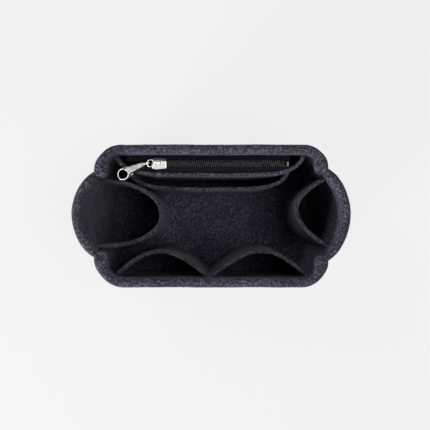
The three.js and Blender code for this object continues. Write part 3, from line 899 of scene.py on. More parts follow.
SHELL_FELT = FeltFinish("shell_felt_finish")
BASE_FELT = FeltFinish(
    "base_felt_finish",
    dark=(0.034, 0.032, 0.046),
    middle=(0.079, 0.074, 0.107),
    pale=(0.172, 0.164, 0.222),
)
# Darker copy of the felt for the pocket strips: painted shade.
POCKET_FELT = FeltFinish(
    "shaded_pocket_felt_finish",
    dark=(0.02, 0.0193, 0.0265),
    middle=(0.056, 0.0535, 0.073),
    pale=(0.145, 0.139, 0.178),
)
# Paler copy of the felt for the zip pocket's panel: painted light.
LIT_ZIP_FELT = FeltFinish(
    "lit_zip_felt_finish",
    dark=(0.032, 0.031, 0.042),
    middle=(0.088, 0.084, 0.114),
    pale=(0.2, 0.191, 0.246),
)
TAPE = WovenFinish(
    "zip_tape_finish",
    thread=(0.016, 0.016, 0.019),
    gap=(0.004, 0.004, 0.005),
    pitch=0.0006,
    relief=0.00012,
    relief_share=0.7,
    roughness=0.8,
    specular=0.15,
    lint=0.3,
)
THREAD = WovenFinish(
    "thread_finish",
    thread=(0.07, 0.068, 0.08),
    gap=(0.02, 0.02, 0.024),
    pitch=0.0005,
    relief=0.00008,
    relief_share=0.6,
    roughness=0.6,
    specular=0.5,
    lint=0.0,
)
NICKEL = NickelFinish("nickel_finish")
STOP_NICKEL = NickelFinish("stop_finish", plate=(0.07, 0.068, 0.068), grime=(0.02, 0.02, 0.02))


# Pieces


@dataclass
class Placer:
    """Puts finished meshes into the scene, on their body, and reports each."""

    count: int = 0

    def put(
        self,
        mesh: Mesh,
        finish: Finish,
        slot: Slot,
        body: Body = Body.ORGANIZER,
        nodes: Sequence[str] = (),
    ) -> Piece:
        """Makes one piece of the object.

        Args:
            mesh: Its mesh, in place.
            finish: Its finish.
            slot: The record's material slot of the piece; not used.
            body: The body that it rides on.
            nodes: CAD nodes that it stands for.

        Returns:
            The new object.
        """
        piece = bpy.data.objects.new(mesh.name, mesh)
        bpy.context.scene.collection.objects.link(piece)
        mesh.materials.append(finish.material())
        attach(piece, body.value)
        if nodes:
            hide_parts(*nodes)
        self.count += 1
        LOG.info("%s: %d faces on %s, finish %s", piece.name, len(mesh.polygons), body.value, finish.name)
        return piece


@dataclass(frozen=True)
class FeltNap:
    """Uneven surface of felt: soft lumps and a finer nap."""

    lump_size: float = 0.007
    lump_height: float = 0.0003
    nap_size: float = 0.0016
    nap_height: float = 0.0002

    def raise_on(self, piece: Piece) -> None:
        """Adds both reliefs to a felt piece.

        Args:
            piece: The felt piece.
        """
        layers = (("lumps", self.lump_size, self.lump_height), ("nap", self.nap_size, self.nap_height))
        for label, size, height in layers:
            texture = bpy.data.textures.get(f"felt_{label}")
            if texture is None:
                texture = bpy.data.textures.new(f"felt_{label}", "CLOUDS")
                texture.noise_scale = size
            relief = piece.modifiers.new(label, "DISPLACE")
            relief.texture = texture
            relief.texture_coords = "LOCAL"
            relief.strength = height


@dataclass(frozen=True)
class StitchRun:
    """A row of lock stitches along a line on a cloth face."""

    pitch: float = 0.0034
    gap: float = 0.0007
    thread: float = 0.00055
    tip: float = 0.55
    sink: float = 0.00005
    lift: float = 0.00022
    steps: int = 5
    sides: int = 6

    def mesh(self, name: str, line: Array, outward: Array) -> Mesh:
        """Builds every stitch of the row as a short arched thread.

        Args:
            name: Name of the mesh.
            line: Points of the seam on the cloth, one row each.
            outward: Directions out of the cloth at those points.

        Returns:
            The new mesh.
        """
        count = int(line_length(line) / self.pitch)
        stride = self.steps + 1
        fine = even_points(np.concatenate([line, outward], axis=1), count * stride + 1)
        share = self.gap / self.pitch / 2.0
        places = np.linspace(share, 1.0 - share, self.steps) * stride
        arch = 1.0 - np.linspace(-1.0, 1.0, self.steps) ** 2
        rise = (arch * self.lift - self.sink)[:, None]
        radii = np.full(self.steps, self.thread / 2.0)
        radii[[0, -1]] *= self.tip
        points = []
        faces = []
        for stitch in range(count):
            part = fine[stitch * stride:(stitch + 1) * stride + 1]
            rows = np.stack([np.interp(places, np.arange(len(part)), column) for column in part.T], axis=1)
            first = stitch * self.steps * self.sides
            for face in tube_faces(self.steps, self.sides):
                faces.append(tuple(first + corner for corner in face))
            points.append(tube_points(rows[:, :3] + rows[:, 3:] * rise, radii, self.sides))
        return mesh_from(name, np.stack(points), faces)


# Felt shell


@dataclass(frozen=True)
class ShellPlan:
    """Plan lines of the shell that the walls, the base and the pockets share."""

    half_length: float
    half_width: float
    height: float
    floor: float
    felt: float = 0.004
    left_side: float = 0.0694
    right_side: float = 0.0749
    side_shift: float = 0.0012
    bulge_rim: float = 0.01825
    bulge_base: float = 0.006
    bulge_rise: float = 0.8
    corner_steps: int = 40

    @classmethod
    def from_frame(cls) -> "ShellPlan":
        """Reads the overall sizes from the front wall's solid."""
        low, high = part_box("front_panel")
        return cls(half_length=high.x, half_width=-low.y, height=high.z, floor=low.z)

    def half_side(self, side: int) -> float:
        """Half of a side panel's width between its two seams."""
        return (self.left_side if side < 0 else self.right_side) / 2.0

    def corner(self, side: int, face: int) -> float:
        """Radius of a corner, which takes up what the side panel leaves of the width."""
        return self.half_width - self.half_side(side) - face * self.side_shift

    def bulge(self, z: float) -> float:
        """How far a side panel stands out past the corners at a height."""
        share = max(0.0, (z - self.floor) / (self.height - self.floor))
        return self.bulge_base + (self.bulge_rim - self.bulge_base) * share**self.bulge_rise

    def side_circle(self, side: int, z: float) -> tuple[float, float, float]:
        """Circle of a side panel's outer face at a height.

        Args:
            side: End of the organizer.
            z: Height.

        Returns:
            The centre's X, the radius and half of the angle between the two seams.
        """
        bulge = self.bulge(z)
        half = self.half_side(side)
        radius = (half**2 + bulge**2) / (2.0 * bulge)
        return side * (self.half_length + bulge - radius), radius, math.asin(half / radius)

    def wrap_line(self, face: int) -> Array:
        """Outer face of the front or back wall, round both of its corners.

        Args:
            face: Which wall.

        Returns:
            Plan points, counterclockwise.
        """
        start = math.pi if face < 0 else 0.0
        arcs = []
        for side, turn in ((face, start), (-face, start + math.pi / 2.0)):
            radius = self.corner(side, face)
            angles = np.linspace(turn, turn + math.pi / 2.0, self.corner_steps)
            x = side * (self.half_length - radius) + radius * np.cos(angles)
            y = face * (self.half_width - radius) + radius * np.sin(angles)
            arcs.append(np.stack([x, y], axis=1))
        return np.concatenate(arcs)

    def side_line(self, side: int, z: float, tuck: float) -> Array:
        """Outer face of a side panel at a height.

        Args:
            side: End of the organizer.
            z: Height.
            tuck: Length that runs on past each seam.

        Returns:
            Plan points, counterclockwise.
        """
        centre, radius, half = self.side_circle(side, z)
        reach = half + tuck / radius
        facing = math.pi if side < 0 else 0.0
        angles = np.linspace(facing - reach, facing + reach, 2 * self.corner_steps)
        y = self.side_shift + radius * np.sin(angles)
        return np.stack([centre + radius * np.cos(angles), y], axis=1)

    def side_middle_x(self, side: int, z: float, y: float) -> float:
        """Middle of a side panel's felt at a height and a Y."""
        centre, radius, _ = self.side_circle(side, z)
        return centre + side * math.sqrt((radius - self.felt / 2.0) ** 2 - (y - self.side_shift) ** 2)

    def base_edge(self, x: float, face: int) -> float:
        """Y of the base's front or back edge at a place along its length.

        Args:
            x: Place along the length.
            face: Which edge.

        Returns:
            The edge's Y there.
        """
        side = -1 if x < 0.0 else 1
        radius = self.corner(side, face)
        over = abs(x) - (self.half_length - radius)
        if over <= 0.0:
            return face * self.half_width
        if abs(x) <= self.half_length:
            return face * (self.half_width - radius + math.sqrt(max(radius**2 - over**2, 0.0)))
        centre, circle, _ = self.side_circle(side, 0.0)
        return self.side_shift + face * math.sqrt(max(circle**2 - (x - centre) ** 2, LEAST_SQUARE))

    def depth(self, points: Array) -> Array:
        """Depth of plan points below the outer face of the front and back walls.

        Args:
            points: Plan points, one row each.

        Returns:
            The depth of each point.
        """
        half = np.where(points[:, 0] < 0.0, self.left_side, self.right_side) / 2.0
        radius = self.half_width - half - np.sign(points[:, 1]) * self.side_shift
        across = np.abs(points[:, 0]) - (self.half_length - radius)
        out = np.abs(points[:, 1]) - (self.half_width - radius)
        round_part = np.hypot(np.maximum(across, 0.0), np.maximum(out, 0.0))
        return radius - np.where((across > 0.0) & (out > 0.0), round_part, np.maximum(across, out))

    def inside(self, points: Array) -> Array:
        """The part of a line that lies deeper than half of the wall's felt."""
        return points[self.depth(points) > self.felt / 2.0]


@dataclass
class FeltShell:
    """Base, front and back walls and side panels, with a folded-in hem round the rim."""

    plan: ShellPlan
    placer: Placer
    nap: FeltNap = FeltNap()
    hem_drop: float = 0.014
    hem_fade: float = 0.034
    hem_thickness: float = 0.0075
    swell_depth: float = 0.03
    rim_depth: float = 0.03
    roll: float = 0.0038
    roll_power: float = 0.9
    roll_close: float = 0.97
    seam_drop: float = 0.0105
    seam_step: float = 0.001
    seam_sink: float = 0.0001
    groove: float = 0.0005
    groove_width: float = 0.0009
    edge_round: float = 0.0009
    cut_start: float = 0.6
    cut_hollow: Band = (0.3, 0.1)
    cut_land: float = 1.2
    cut_corner: Band = (0.35, 0.3)
    end_round: float = 0.25
    end_least: float = 0.25
    knob: float = 1.4
    knob_drop: float = 0.9
    knob_below: float = 0.002
    knob_above: float = 0.001
    wave: float = 0.0002
    rim_wave: float = 0.0002
    long_swell: float = 0.0004
    long_unsewn: float = 0.006
    end_from: float = 0.002
    end_until: float = 0.016
    end_ease: float = 0.004
    end_rise: float = 0.0014
    end_swell_in: float = 0.7
    end_swell_out: float = 0.2
    side_swell: float = 0.0011
    side_unsewn: float = 0.012
    side_points: int = 90
    tuck: float = 0.0012
    pinch: float = 0.3
    pinch_run: float = 0.012
    pinch_ease: float = 0.003
    pinch_sink: float = 0.004
    base_columns: int = 72
    base_share: float = 0.9995
    face_step: float = 0.0018
    rim_steps: int = 9
    hem_steps: int = 16

    def build(self) -> None:
        """Builds the base, the long walls and the side panels."""
        self.base()
        for face in Face:
            self.long_wall(face)
        for side in Side:
            self.side_wall(side)

    def on_hem(self, heights: Array, below: float, above: float) -> Array:
        """0 below the hem and 1 on it, eased from below its foot to above it."""
        foot = self.plan.height - self.hem_drop
        return smooth_step(foot - below, foot + above, heights)

    def near_rim(self, heights: Array) -> Array:
        """Eases from 0 well below the rim to 1 at it."""
        return smooth_step(self.plan.height - self.rim_depth, self.plan.height, heights)

    def swollen(self, heights: Array) -> Array:
        """Share of the hem's swelling at each height."""
        top = self.plan.height
        return smooth_step(top - self.swell_depth, top - self.roll, heights)

    def sway(self, shares: Array, z: float, seed: float, waves: float) -> Array:
        """A wall's slow wave inwards at each place, as a column, which grows from floor to rim."""
        grown = smooth_step(self.plan.floor, self.plan.height, np.array(z))
        return (self.wave * ripple(shares, seed, waves) * grown)[:, None]

    def wall_section(self, fading: bool, swell: float) -> Array:
        """Upright section of a wall: single felt, then the hem's double felt with a rolled rim.

        Args:
            fading: Whether the hem thins out downwards instead of ending in a cut edge.
            swell: How far the hem stands out past the wall's outer face at the rim.

        Returns:
            Offsets inwards from the outer face, and heights.
        """
        plan = self.plan
        foot = plan.height - self.hem_drop
        thick = self.hem_thickness
        corner = self.edge_round
        count = round((foot - plan.floor) / self.face_step)
        low = np.linspace(plan.floor + corner, foot - corner, count)
        outer = [(corner, plan.floor)]
        inner = [(plan.felt - corner, plan.floor)]
        outer += [(0.0, z) for z in low]
        fade = smooth_step(foot - self.hem_fade, foot, low) if fading else np.zeros(count)
        inner += list(zip(plan.felt + (thick - plan.felt) * fade, low))
        # The hem's cut edge, with a small hollow at the wall and a rounded corner.
        cut = np.array([
            (plan.felt + self.cut_hollow[0] * corner, foot - self.cut_hollow[1] * corner),
            (plan.felt + corner, foot),
            (thick - self.cut_land * corner, foot),
            (thick - self.cut_corner[0] * corner, foot + self.cut_corner[1] * corner),
            (thick, foot + corner),
        ])
        beside = np.linspace(foot - self.cut_start * corner, foot + corner, len(cut))
        outer += [(0.0, z) for z in beside]
        if fading:
            cut = np.column_stack([np.full(len(cut), thick), beside])
        inner += [tuple(point) for point in cut]
        top = plan.height - self.roll
        hem = np.linspace(foot + 2.0 * corner, top, self.hem_steps)
        dent = self.groove * np.exp(-(((hem - plan.height + self.seam_drop) / self.groove_width) ** 2))
        outer += list(zip(dent, hem))
        inner += list(zip(thick - dent, hem))
        for angle in np.linspace(0.0, np.pi / 2.0, self.rim_steps)[1:]:
            z = top + self.roll * math.sin(angle) ** self.roll_power
            inset = thick / 2.0 * (1.0 - math.cos(angle) ** self.roll_power) * self.roll_close
            outer.append((inset, z))
            inner.append((thick - inset, z))
        section = np.array(outer + inner[::-1])
        section[:, 0] -= swell * self.swollen(section[:, 1])
        return section

    def end_shape(self, section: Array) -> tuple[Array, Array]:
        """How a wall's end is rounded: a little on single felt, fully on the hem's roll.

        Args:
            section: The wall's section.

        Returns:
            How far each point bulges out and drops at the wall's end.
        """
        half = np.abs(section[:, 0] - section[::-1, 0]) / 2.0
        on_hem = self.on_hem(section[:, 1], self.knob_below, self.knob_above)
        share = self.end_round + (self.knob - self.end_round) * on_hem
        over = np.maximum(section[:, 1] - (self.plan.height - self.roll), 0.0)
        return share * np.maximum(half, self.plan.felt * self.end_least), self.knob_drop * over

    def base(self) -> None:
        """Builds the flat felt of the bottom, with softly rounded edges."""
        plan = self.plan
        across = self.base_columns
        tip = plan.half_length + plan.bulge_base
        stations = np.linspace(-1.0, 1.0, round(2.0 * tip / self.face_step))
        stations = tip * np.sin(stations * np.pi / 2.0) * self.base_share
        shares = np.sin(np.linspace(-1.0, 1.0, across) * np.pi / 2.0)
        rows = []
        for x in stations:
            front = plan.base_edge(float(x), Face.FRONT)
            back = plan.base_edge(float(x), Face.BACK)
            half = (back - front) / 2.0
            y = (back + front) / 2.0 + shares * half
            edge = np.minimum((1.0 - np.abs(shares)) * half / self.edge_round, 1.0)
            curl = self.edge_round * (1.0 - np.sqrt(np.clip(edge * (2.0 - edge), 0.0, 1.0)))
            upper = np.column_stack([np.full(across, x), y, plan.floor - curl])
            lower = np.column_stack([np.full(across, x), y, curl])
            rows.append(np.concatenate([upper, lower[::-1]]))
        mesh = mesh_from("base_felt", np.stack(rows), band_faces(len(rows), 2 * across))
        piece = self.placer.put(mesh, BASE_FELT, Slot.SHELL_FELT, nodes=["base_panel"])
        self.nap.raise_on(piece)

    def long_wall(self, face: Face) -> None:
        """Builds the front or back wall, which wraps two corners.

        Args:
            face: Which wall.
        """
        plan = self.plan
        section = self.wall_section(fading=False, swell=self.long_swell)
        outline = plan.wrap_line(face)
        count = round(line_length(outline) / FeltStrip.spacing)
        outline = even_points(outline, count)
        length = line_length(outline)
        inward = left_of(directions(outline))
        places = np.linspace(0.0, 1.0, count)

        def line(z: float) -> Array:
            """Plan line of the wall at a height."""
            return outline + inward * self.sway(places, z, seed=face + 2.0, waves=3.0)

        def ease(shares: Array, shaped: Array) -> None:
            """Swells the rolled ends of the hem and lets the rim wander a little.

            Args:
                shares: Places along the wall, from 0 to 1.
                shaped: The section at each place.
            """
            from_end = np.minimum(shares, 1.0 - shares) * length
            swell = 1.0 - smooth_step(self.end_from, self.end_until, from_end)
            on_hem = self.on_hem(section[:, 1], self.end_ease, self.end_ease)
            from_middle = section[:, 0] - self.hem_thickness / 2.0
            grow = np.where(from_middle > 0.0, self.end_swell_in, self.end_swell_out) * from_middle
            shaped[..., 0] += np.outer(swell, on_hem * grow)
            rise = self.rim_wave * ripple(shares, seed=face + 5.0, waves=4.0) + self.end_rise * swell
            shaped[..., 1] += np.outer(rise, self.near_rim(section[:, 1]))

        name = face.name.lower()
        mesh = FeltStrip(line, section, *self.end_shape(section), ease).mesh(f"{name}_wall_felt")
        piece = self.placer.put(mesh, SHELL_FELT, Slot.SHELL_FELT, nodes=[f"{name}_panel"])
        self.nap.raise_on(piece)
        self._hem_stitches(name, line, self.long_swell, self.long_unsewn)

    def side_wall(self, side: Side) -> None:
        """Builds a side panel, which bulges out more towards the rim.

        Args:
            side: Which end.
        """
        plan = self.plan
        section = self.wall_section(fading=side is Side.LEFT, swell=self.side_swell)
        length = line_length(plan.side_line(side, plan.height, self.tuck))
        foot = line_length(plan.side_line(side, plan.floor, self.tuck))
        places = np.linspace(0.0, 1.0, self.side_points)

        def line(z: float) -> Array:
            """Plan line of the side panel at a height."""
            points = even_points(plan.side_line(side, z, self.tuck), self.side_points)
            return points + left_of(directions(points)) * self.sway(places, z, seed=side + 9.0, waves=1.5)

        def ease(shares: Array, shaped: Array) -> None:
            """Pinches the hem and dips the rim where the panel runs in behind the corners.

            Args:
                shares: Places along the panel, from 0 to 1.
                shaped: The section at each place.
            """
            from_end = np.minimum(shares, 1.0 - shares) * length
            pinch = 1.0 - smooth_step(0.0, self.pinch_run, from_end)
            on_hem = self.on_hem(section[:, 1], self.pinch_ease, 0.0)
            shaped[..., 0] *= 1.0 - self.pinch * np.outer(pinch, on_hem)
            rise = self.rim_wave * ripple(shares, seed=side + 4.0, waves=2.0) - self.pinch_sink * pinch
            shaped[..., 1] += np.outer(rise, self.near_rim(section[:, 1]))

        name = f"{side.name.lower()}_side"
        mesh = FeltStrip(line, section, *self.end_shape(section), ease).mesh(f"{name}_felt")
        piece = self.placer.put(mesh, SHELL_FELT, Slot.SHELL_FELT, nodes=[f"{name}_panel"])
        self.nap.raise_on(piece)
        self._hem_stitches(name, line, self.side_swell, self.side_unsewn)

    def _hem_stitches(self, name: str, line: PlanLine, swell: float, ends: float) -> None:
        """Sews a wall's hem along its outer face and its inner face.

        Args:
            name: Name of the wall.
            line: Plan line of the wall's outer face by height.
            swell: How far the hem stands out at the rim.
            ends: Distance left unsewn at each end.
        """
        z = self.plan.height - self.seam_drop
        outer = line(z)
        outer = even_points(outer, round(line_length(outer) / self.seam_step))
        inward = left_of(directions(outer))
        skipped = round(ends / self.seam_step)
        keep = slice(skipped, -skipped)
        out = swell * float(self.swollen(np.array(z)))
        bed = self.groove - self.seam_sink
        sides = (("outer", bed - out, -1.0), ("inner", self.hem_thickness - bed - out, 1.0))
        for label, offset, sign in sides:
            plan = (outer + inward * offset)[keep]
            points = np.column_stack([plan, np.full(len(plan), z)])
            outward = np.column_stack([sign * inward[keep], np.zeros(len(plan))])
            mesh = StitchRun().mesh(f"{name}_hem_stitches_{label}", points, outward)
            self.placer.put(mesh, THREAD, Slot.SHELL_FELT)


# Felt pockets


@dataclass
class FeltPockets:
    """Pocket strips that stand on the base and are sewn to the walls."""

    plan: ShellPlan
    placer: Placer
    nap: FeltNap = FeltNap(lump_height=0.0005, nap_height=0.0003)
    felt: float = 0.003
    edge_round: float = 0.0008
    edge_steps: int = 5
    edge_crown: Band = (0.25, 0.15)
    end_bulge: float = 0.125
    face_step: float = 0.0018
    wave: float = 0.0003
    rim_depth: float = 0.03
    seam_gap: float = 0.0003
    strip_points: int = 160
    left_reach: float = 0.0509
    left_width: float = 0.054
    left_shift: float = 0.0023
    left_skew: float = 0.0012
    left_fullness: float = 2.4
    right_reach: float = 0.0222
    right_width: float = 0.058
    right_shift: float = 0.0026
    right_skew: float = 0.0022
    front_depth: float = 0.0215
    front_margin: float = 0.0103
    front_land: float = 0.0015
    front_seam_x: float = -0.00145
    front_points: int = 200
    zip_depth: float = 0.01725
    zip_margin: float = 0.013
    zip_centre_x: float = -0.0018
    zip_fullness: tuple[float, float] = (5.0, 6.0)
    zip_points: int = 400
    slip_bulge: float = 0.0115
    slip_margin: float = 0.0135
    slip_fullness: float = 4.0
    slip_points: int = 300

    def build(self) -> None:
        """Builds the five pocket strips."""
        self.strip("left_pocket", self.left_line, seed=1.0)
        self.strip("right_pocket", self.right_line, seed=2.0)
        self.strip("front_pocket", self.front_line, seed=3.0)
        self.strip("zip_pocket", self.zip_line, seed=4.0, finish=LIT_ZIP_FELT)
        self.strip("slip_pocket", self.slip_line, seed=5.0)

    def section(self, top: float) -> Array:
        """Upright section of a pocket strip with soft cut edges.

        Args:
            top: Height of the mouth.

        Returns:
            Offsets from the middle line, and heights.
        """
        half = self.felt / 2.0
        count = round((top - self.plan.floor) / self.face_step)
        heights = np.linspace(self.plan.floor, top - self.edge_round, count)
        near = [(-half, z) for z in heights]
        for angle in np.linspace(0.0, np.pi / 2.0, self.edge_steps)[1:]:
            inset = self.edge_round * (1.0 - math.cos(angle))
            near.append((inset - half, top - self.edge_round * (1.0 - math.sin(angle))))
        # The mouth's edge is a little crowned in its middle.
        inset, rise = self.edge_crown
        near.append((-inset * half, top + rise * self.edge_round))
        far = [(-offset, z) for offset, z in near]
        return np.array(near + far[::-1])

    def strip(
        self,
        name: str,
        line: PlanLine,
        seed: float,
        finish: FeltFinish = POCKET_FELT,
    ) -> None:
        """Builds one pocket strip.

        Args:
            name: Name of the pocket.
            line: Middle line of the strip in plan, by height.
            seed: Number that sets its own wave.
            finish: Its felt.
        """
        floor = self.plan.floor
        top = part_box(f"{name}_panel")[1].z
        section = self.section(top)
        places = np.linspace(0.0, 1.0, self.strip_points)

        def swaying(z: float) -> Array:
            """Middle line with the strip's own slow wave.

            Args:
                z: Height.

            Returns:
                Plan points.
            """
            points = even_points(line(z), self.strip_points)
            sway = self.wave * (z - floor) / (top - floor) * ripple(places, seed)
            return points + left_of(directions(points)) * sway[:, None]

        def ease(shares: Array, shaped: Array) -> None:
            """Lets the mouth rise and sink a little.

            Args:
                shares: Places along the strip, from 0 to 1.
                shaped: The section at each place.
            """
            rise = self.wave * ripple(shares, seed=seed + 7.0, waves=2.0)
            shaped[..., 1] += np.outer(rise, smooth_step(top - self.rim_depth, top, section[:, 1]))

        bulge = np.full(len(section), self.felt * self.end_bulge)
        mesh = FeltStrip(swaying, section, bulge, np.zeros(len(section)), ease).mesh(f"{name}_felt")
        piece = self.placer.put(mesh, finish, Slot.POCKET_FELT, nodes=[f"{name}_panel"])
        self.nap.raise_on(piece)
        flat = (line_length(line(top)), top - floor)

    def roots(self, side: Side, z: float, shift: float, width: float, places: Array) -> Array:
        """X where each place's own leg of a side pocket meets the panel; front places are negative."""
        front, back = (self.plan.side_middle_x(side, z, shift + leg * width / 2.0) for leg in Face)
        return np.where(places < 0.0, front, back)

    def left_line(self, z: float) -> Array:
        """Full, rounded curve of the left pocket at a height.

        Args:
            z: Height.

        Returns:
            Plan points.
        """
        angles = np.linspace(-np.pi / 2.0, np.pi / 2.0, self.strip_points)
        root = self.roots(Side.LEFT, z, self.left_shift, self.left_width, angles)
        nose = self.left_reach - self.plan.half_length
        along = np.clip(np.cos(angles), 0.0, 1.0) ** (2.0 / self.left_fullness)
        y = self.left_shift + self.left_width / 2.0 * np.sin(angles) - self.left_skew * along
        return np.stack([root + (nose - root) * along, y], axis=1)

    def right_line(self, z: float) -> Array:
        """Parabola of the right pocket at a height.

        Args:
            z: Height.

        Returns:
            Plan points.
        """
        shares = np.linspace(-1.0, 1.0, self.strip_points)
        root = self.roots(Side.RIGHT, z, self.right_shift, self.right_width, shares)
        nose = self.plan.half_length - self.right_reach
        y = self.right_shift + self.right_width / 2.0 * shares + self.right_skew * (1.0 - shares**2)
        return np.stack([nose + (root - nose) * shares**2, y], axis=1)

    def front_line(self, z: float) -> Array:
        """Two arches of the front pocket strip, sewn flat to the wall between them.

        Args:
            z: Height, which the line doesn't depend on.

        Returns:
            Plan points.
        """
        sewn = self.plan.felt + self.seam_gap + self.felt / 2.0 - self.plan.half_width
        shares = np.linspace(0.0, 1.0, self.front_points)
        arches = []
        for side in Side:
            root = self.front_seam_x + side * self.front_land / 2.0
            end = side * (self.plan.half_length - self.front_margin)
            x = root + (end - root) * shares
            y = sewn + self.front_depth * np.sin(np.pi * shares)
            points = self.plan.inside(np.stack([x, y], axis=1))
            arches.append(points[::side])
        return np.concatenate(arches)

    def zip_half_length(self) -> float:
        """Half of the zip pocket's length."""
        return self.plan.half_length - self.zip_margin

    def zip_y(self, x: Array) -> Array:
        """Middle line of the zip pocket's panel: its Y by X.

        Args:
            x: Places along the length.

        Returns:
            The panel's Y at each place.
        """
        depth = self.zip_depth + self.plan.felt + self.felt / 2.0
        along = np.clip((x - self.zip_centre_x) / self.zip_half_length(), -1.0, 1.0)
        fullness = np.where(along < 0.0, *self.zip_fullness)
        return self.plan.half_width - depth * np.sqrt(1.0 - np.abs(along) ** fullness)

    def zip_line(self, z: float) -> Array:
        """Plan line of the zip pocket's panel.

        Args:
            z: Height, which the line doesn't depend on.

        Returns:
            Plan points.
        """
        along = np.sin(np.linspace(-np.pi / 2.0, np.pi / 2.0, self.zip_points))
        x = self.zip_centre_x + self.zip_half_length() * along
        return self.plan.inside(np.stack([x, self.zip_y(x)], axis=1))

    def slip_line(self, z: float) -> Array:
        """Plan line of the slip pocket in front of the zip pocket.

        Args:
            z: Height, which the line doesn't depend on.

        Returns:
            Plan points.
        """
        half = self.zip_half_length() - self.slip_margin
        root, middle = self.zip_y(self.zip_centre_x + np.array([half, 0.0]))
        bulge = root - middle + self.slip_bulge
        along = np.sin(np.linspace(-np.pi / 2.0, np.pi / 2.0, self.slip_points))
        y = root - bulge * np.sqrt(1.0 - np.abs(along) ** self.slip_fullness)
        return np.stack([self.zip_centre_x + half * along, y], axis=1)


# Zipper


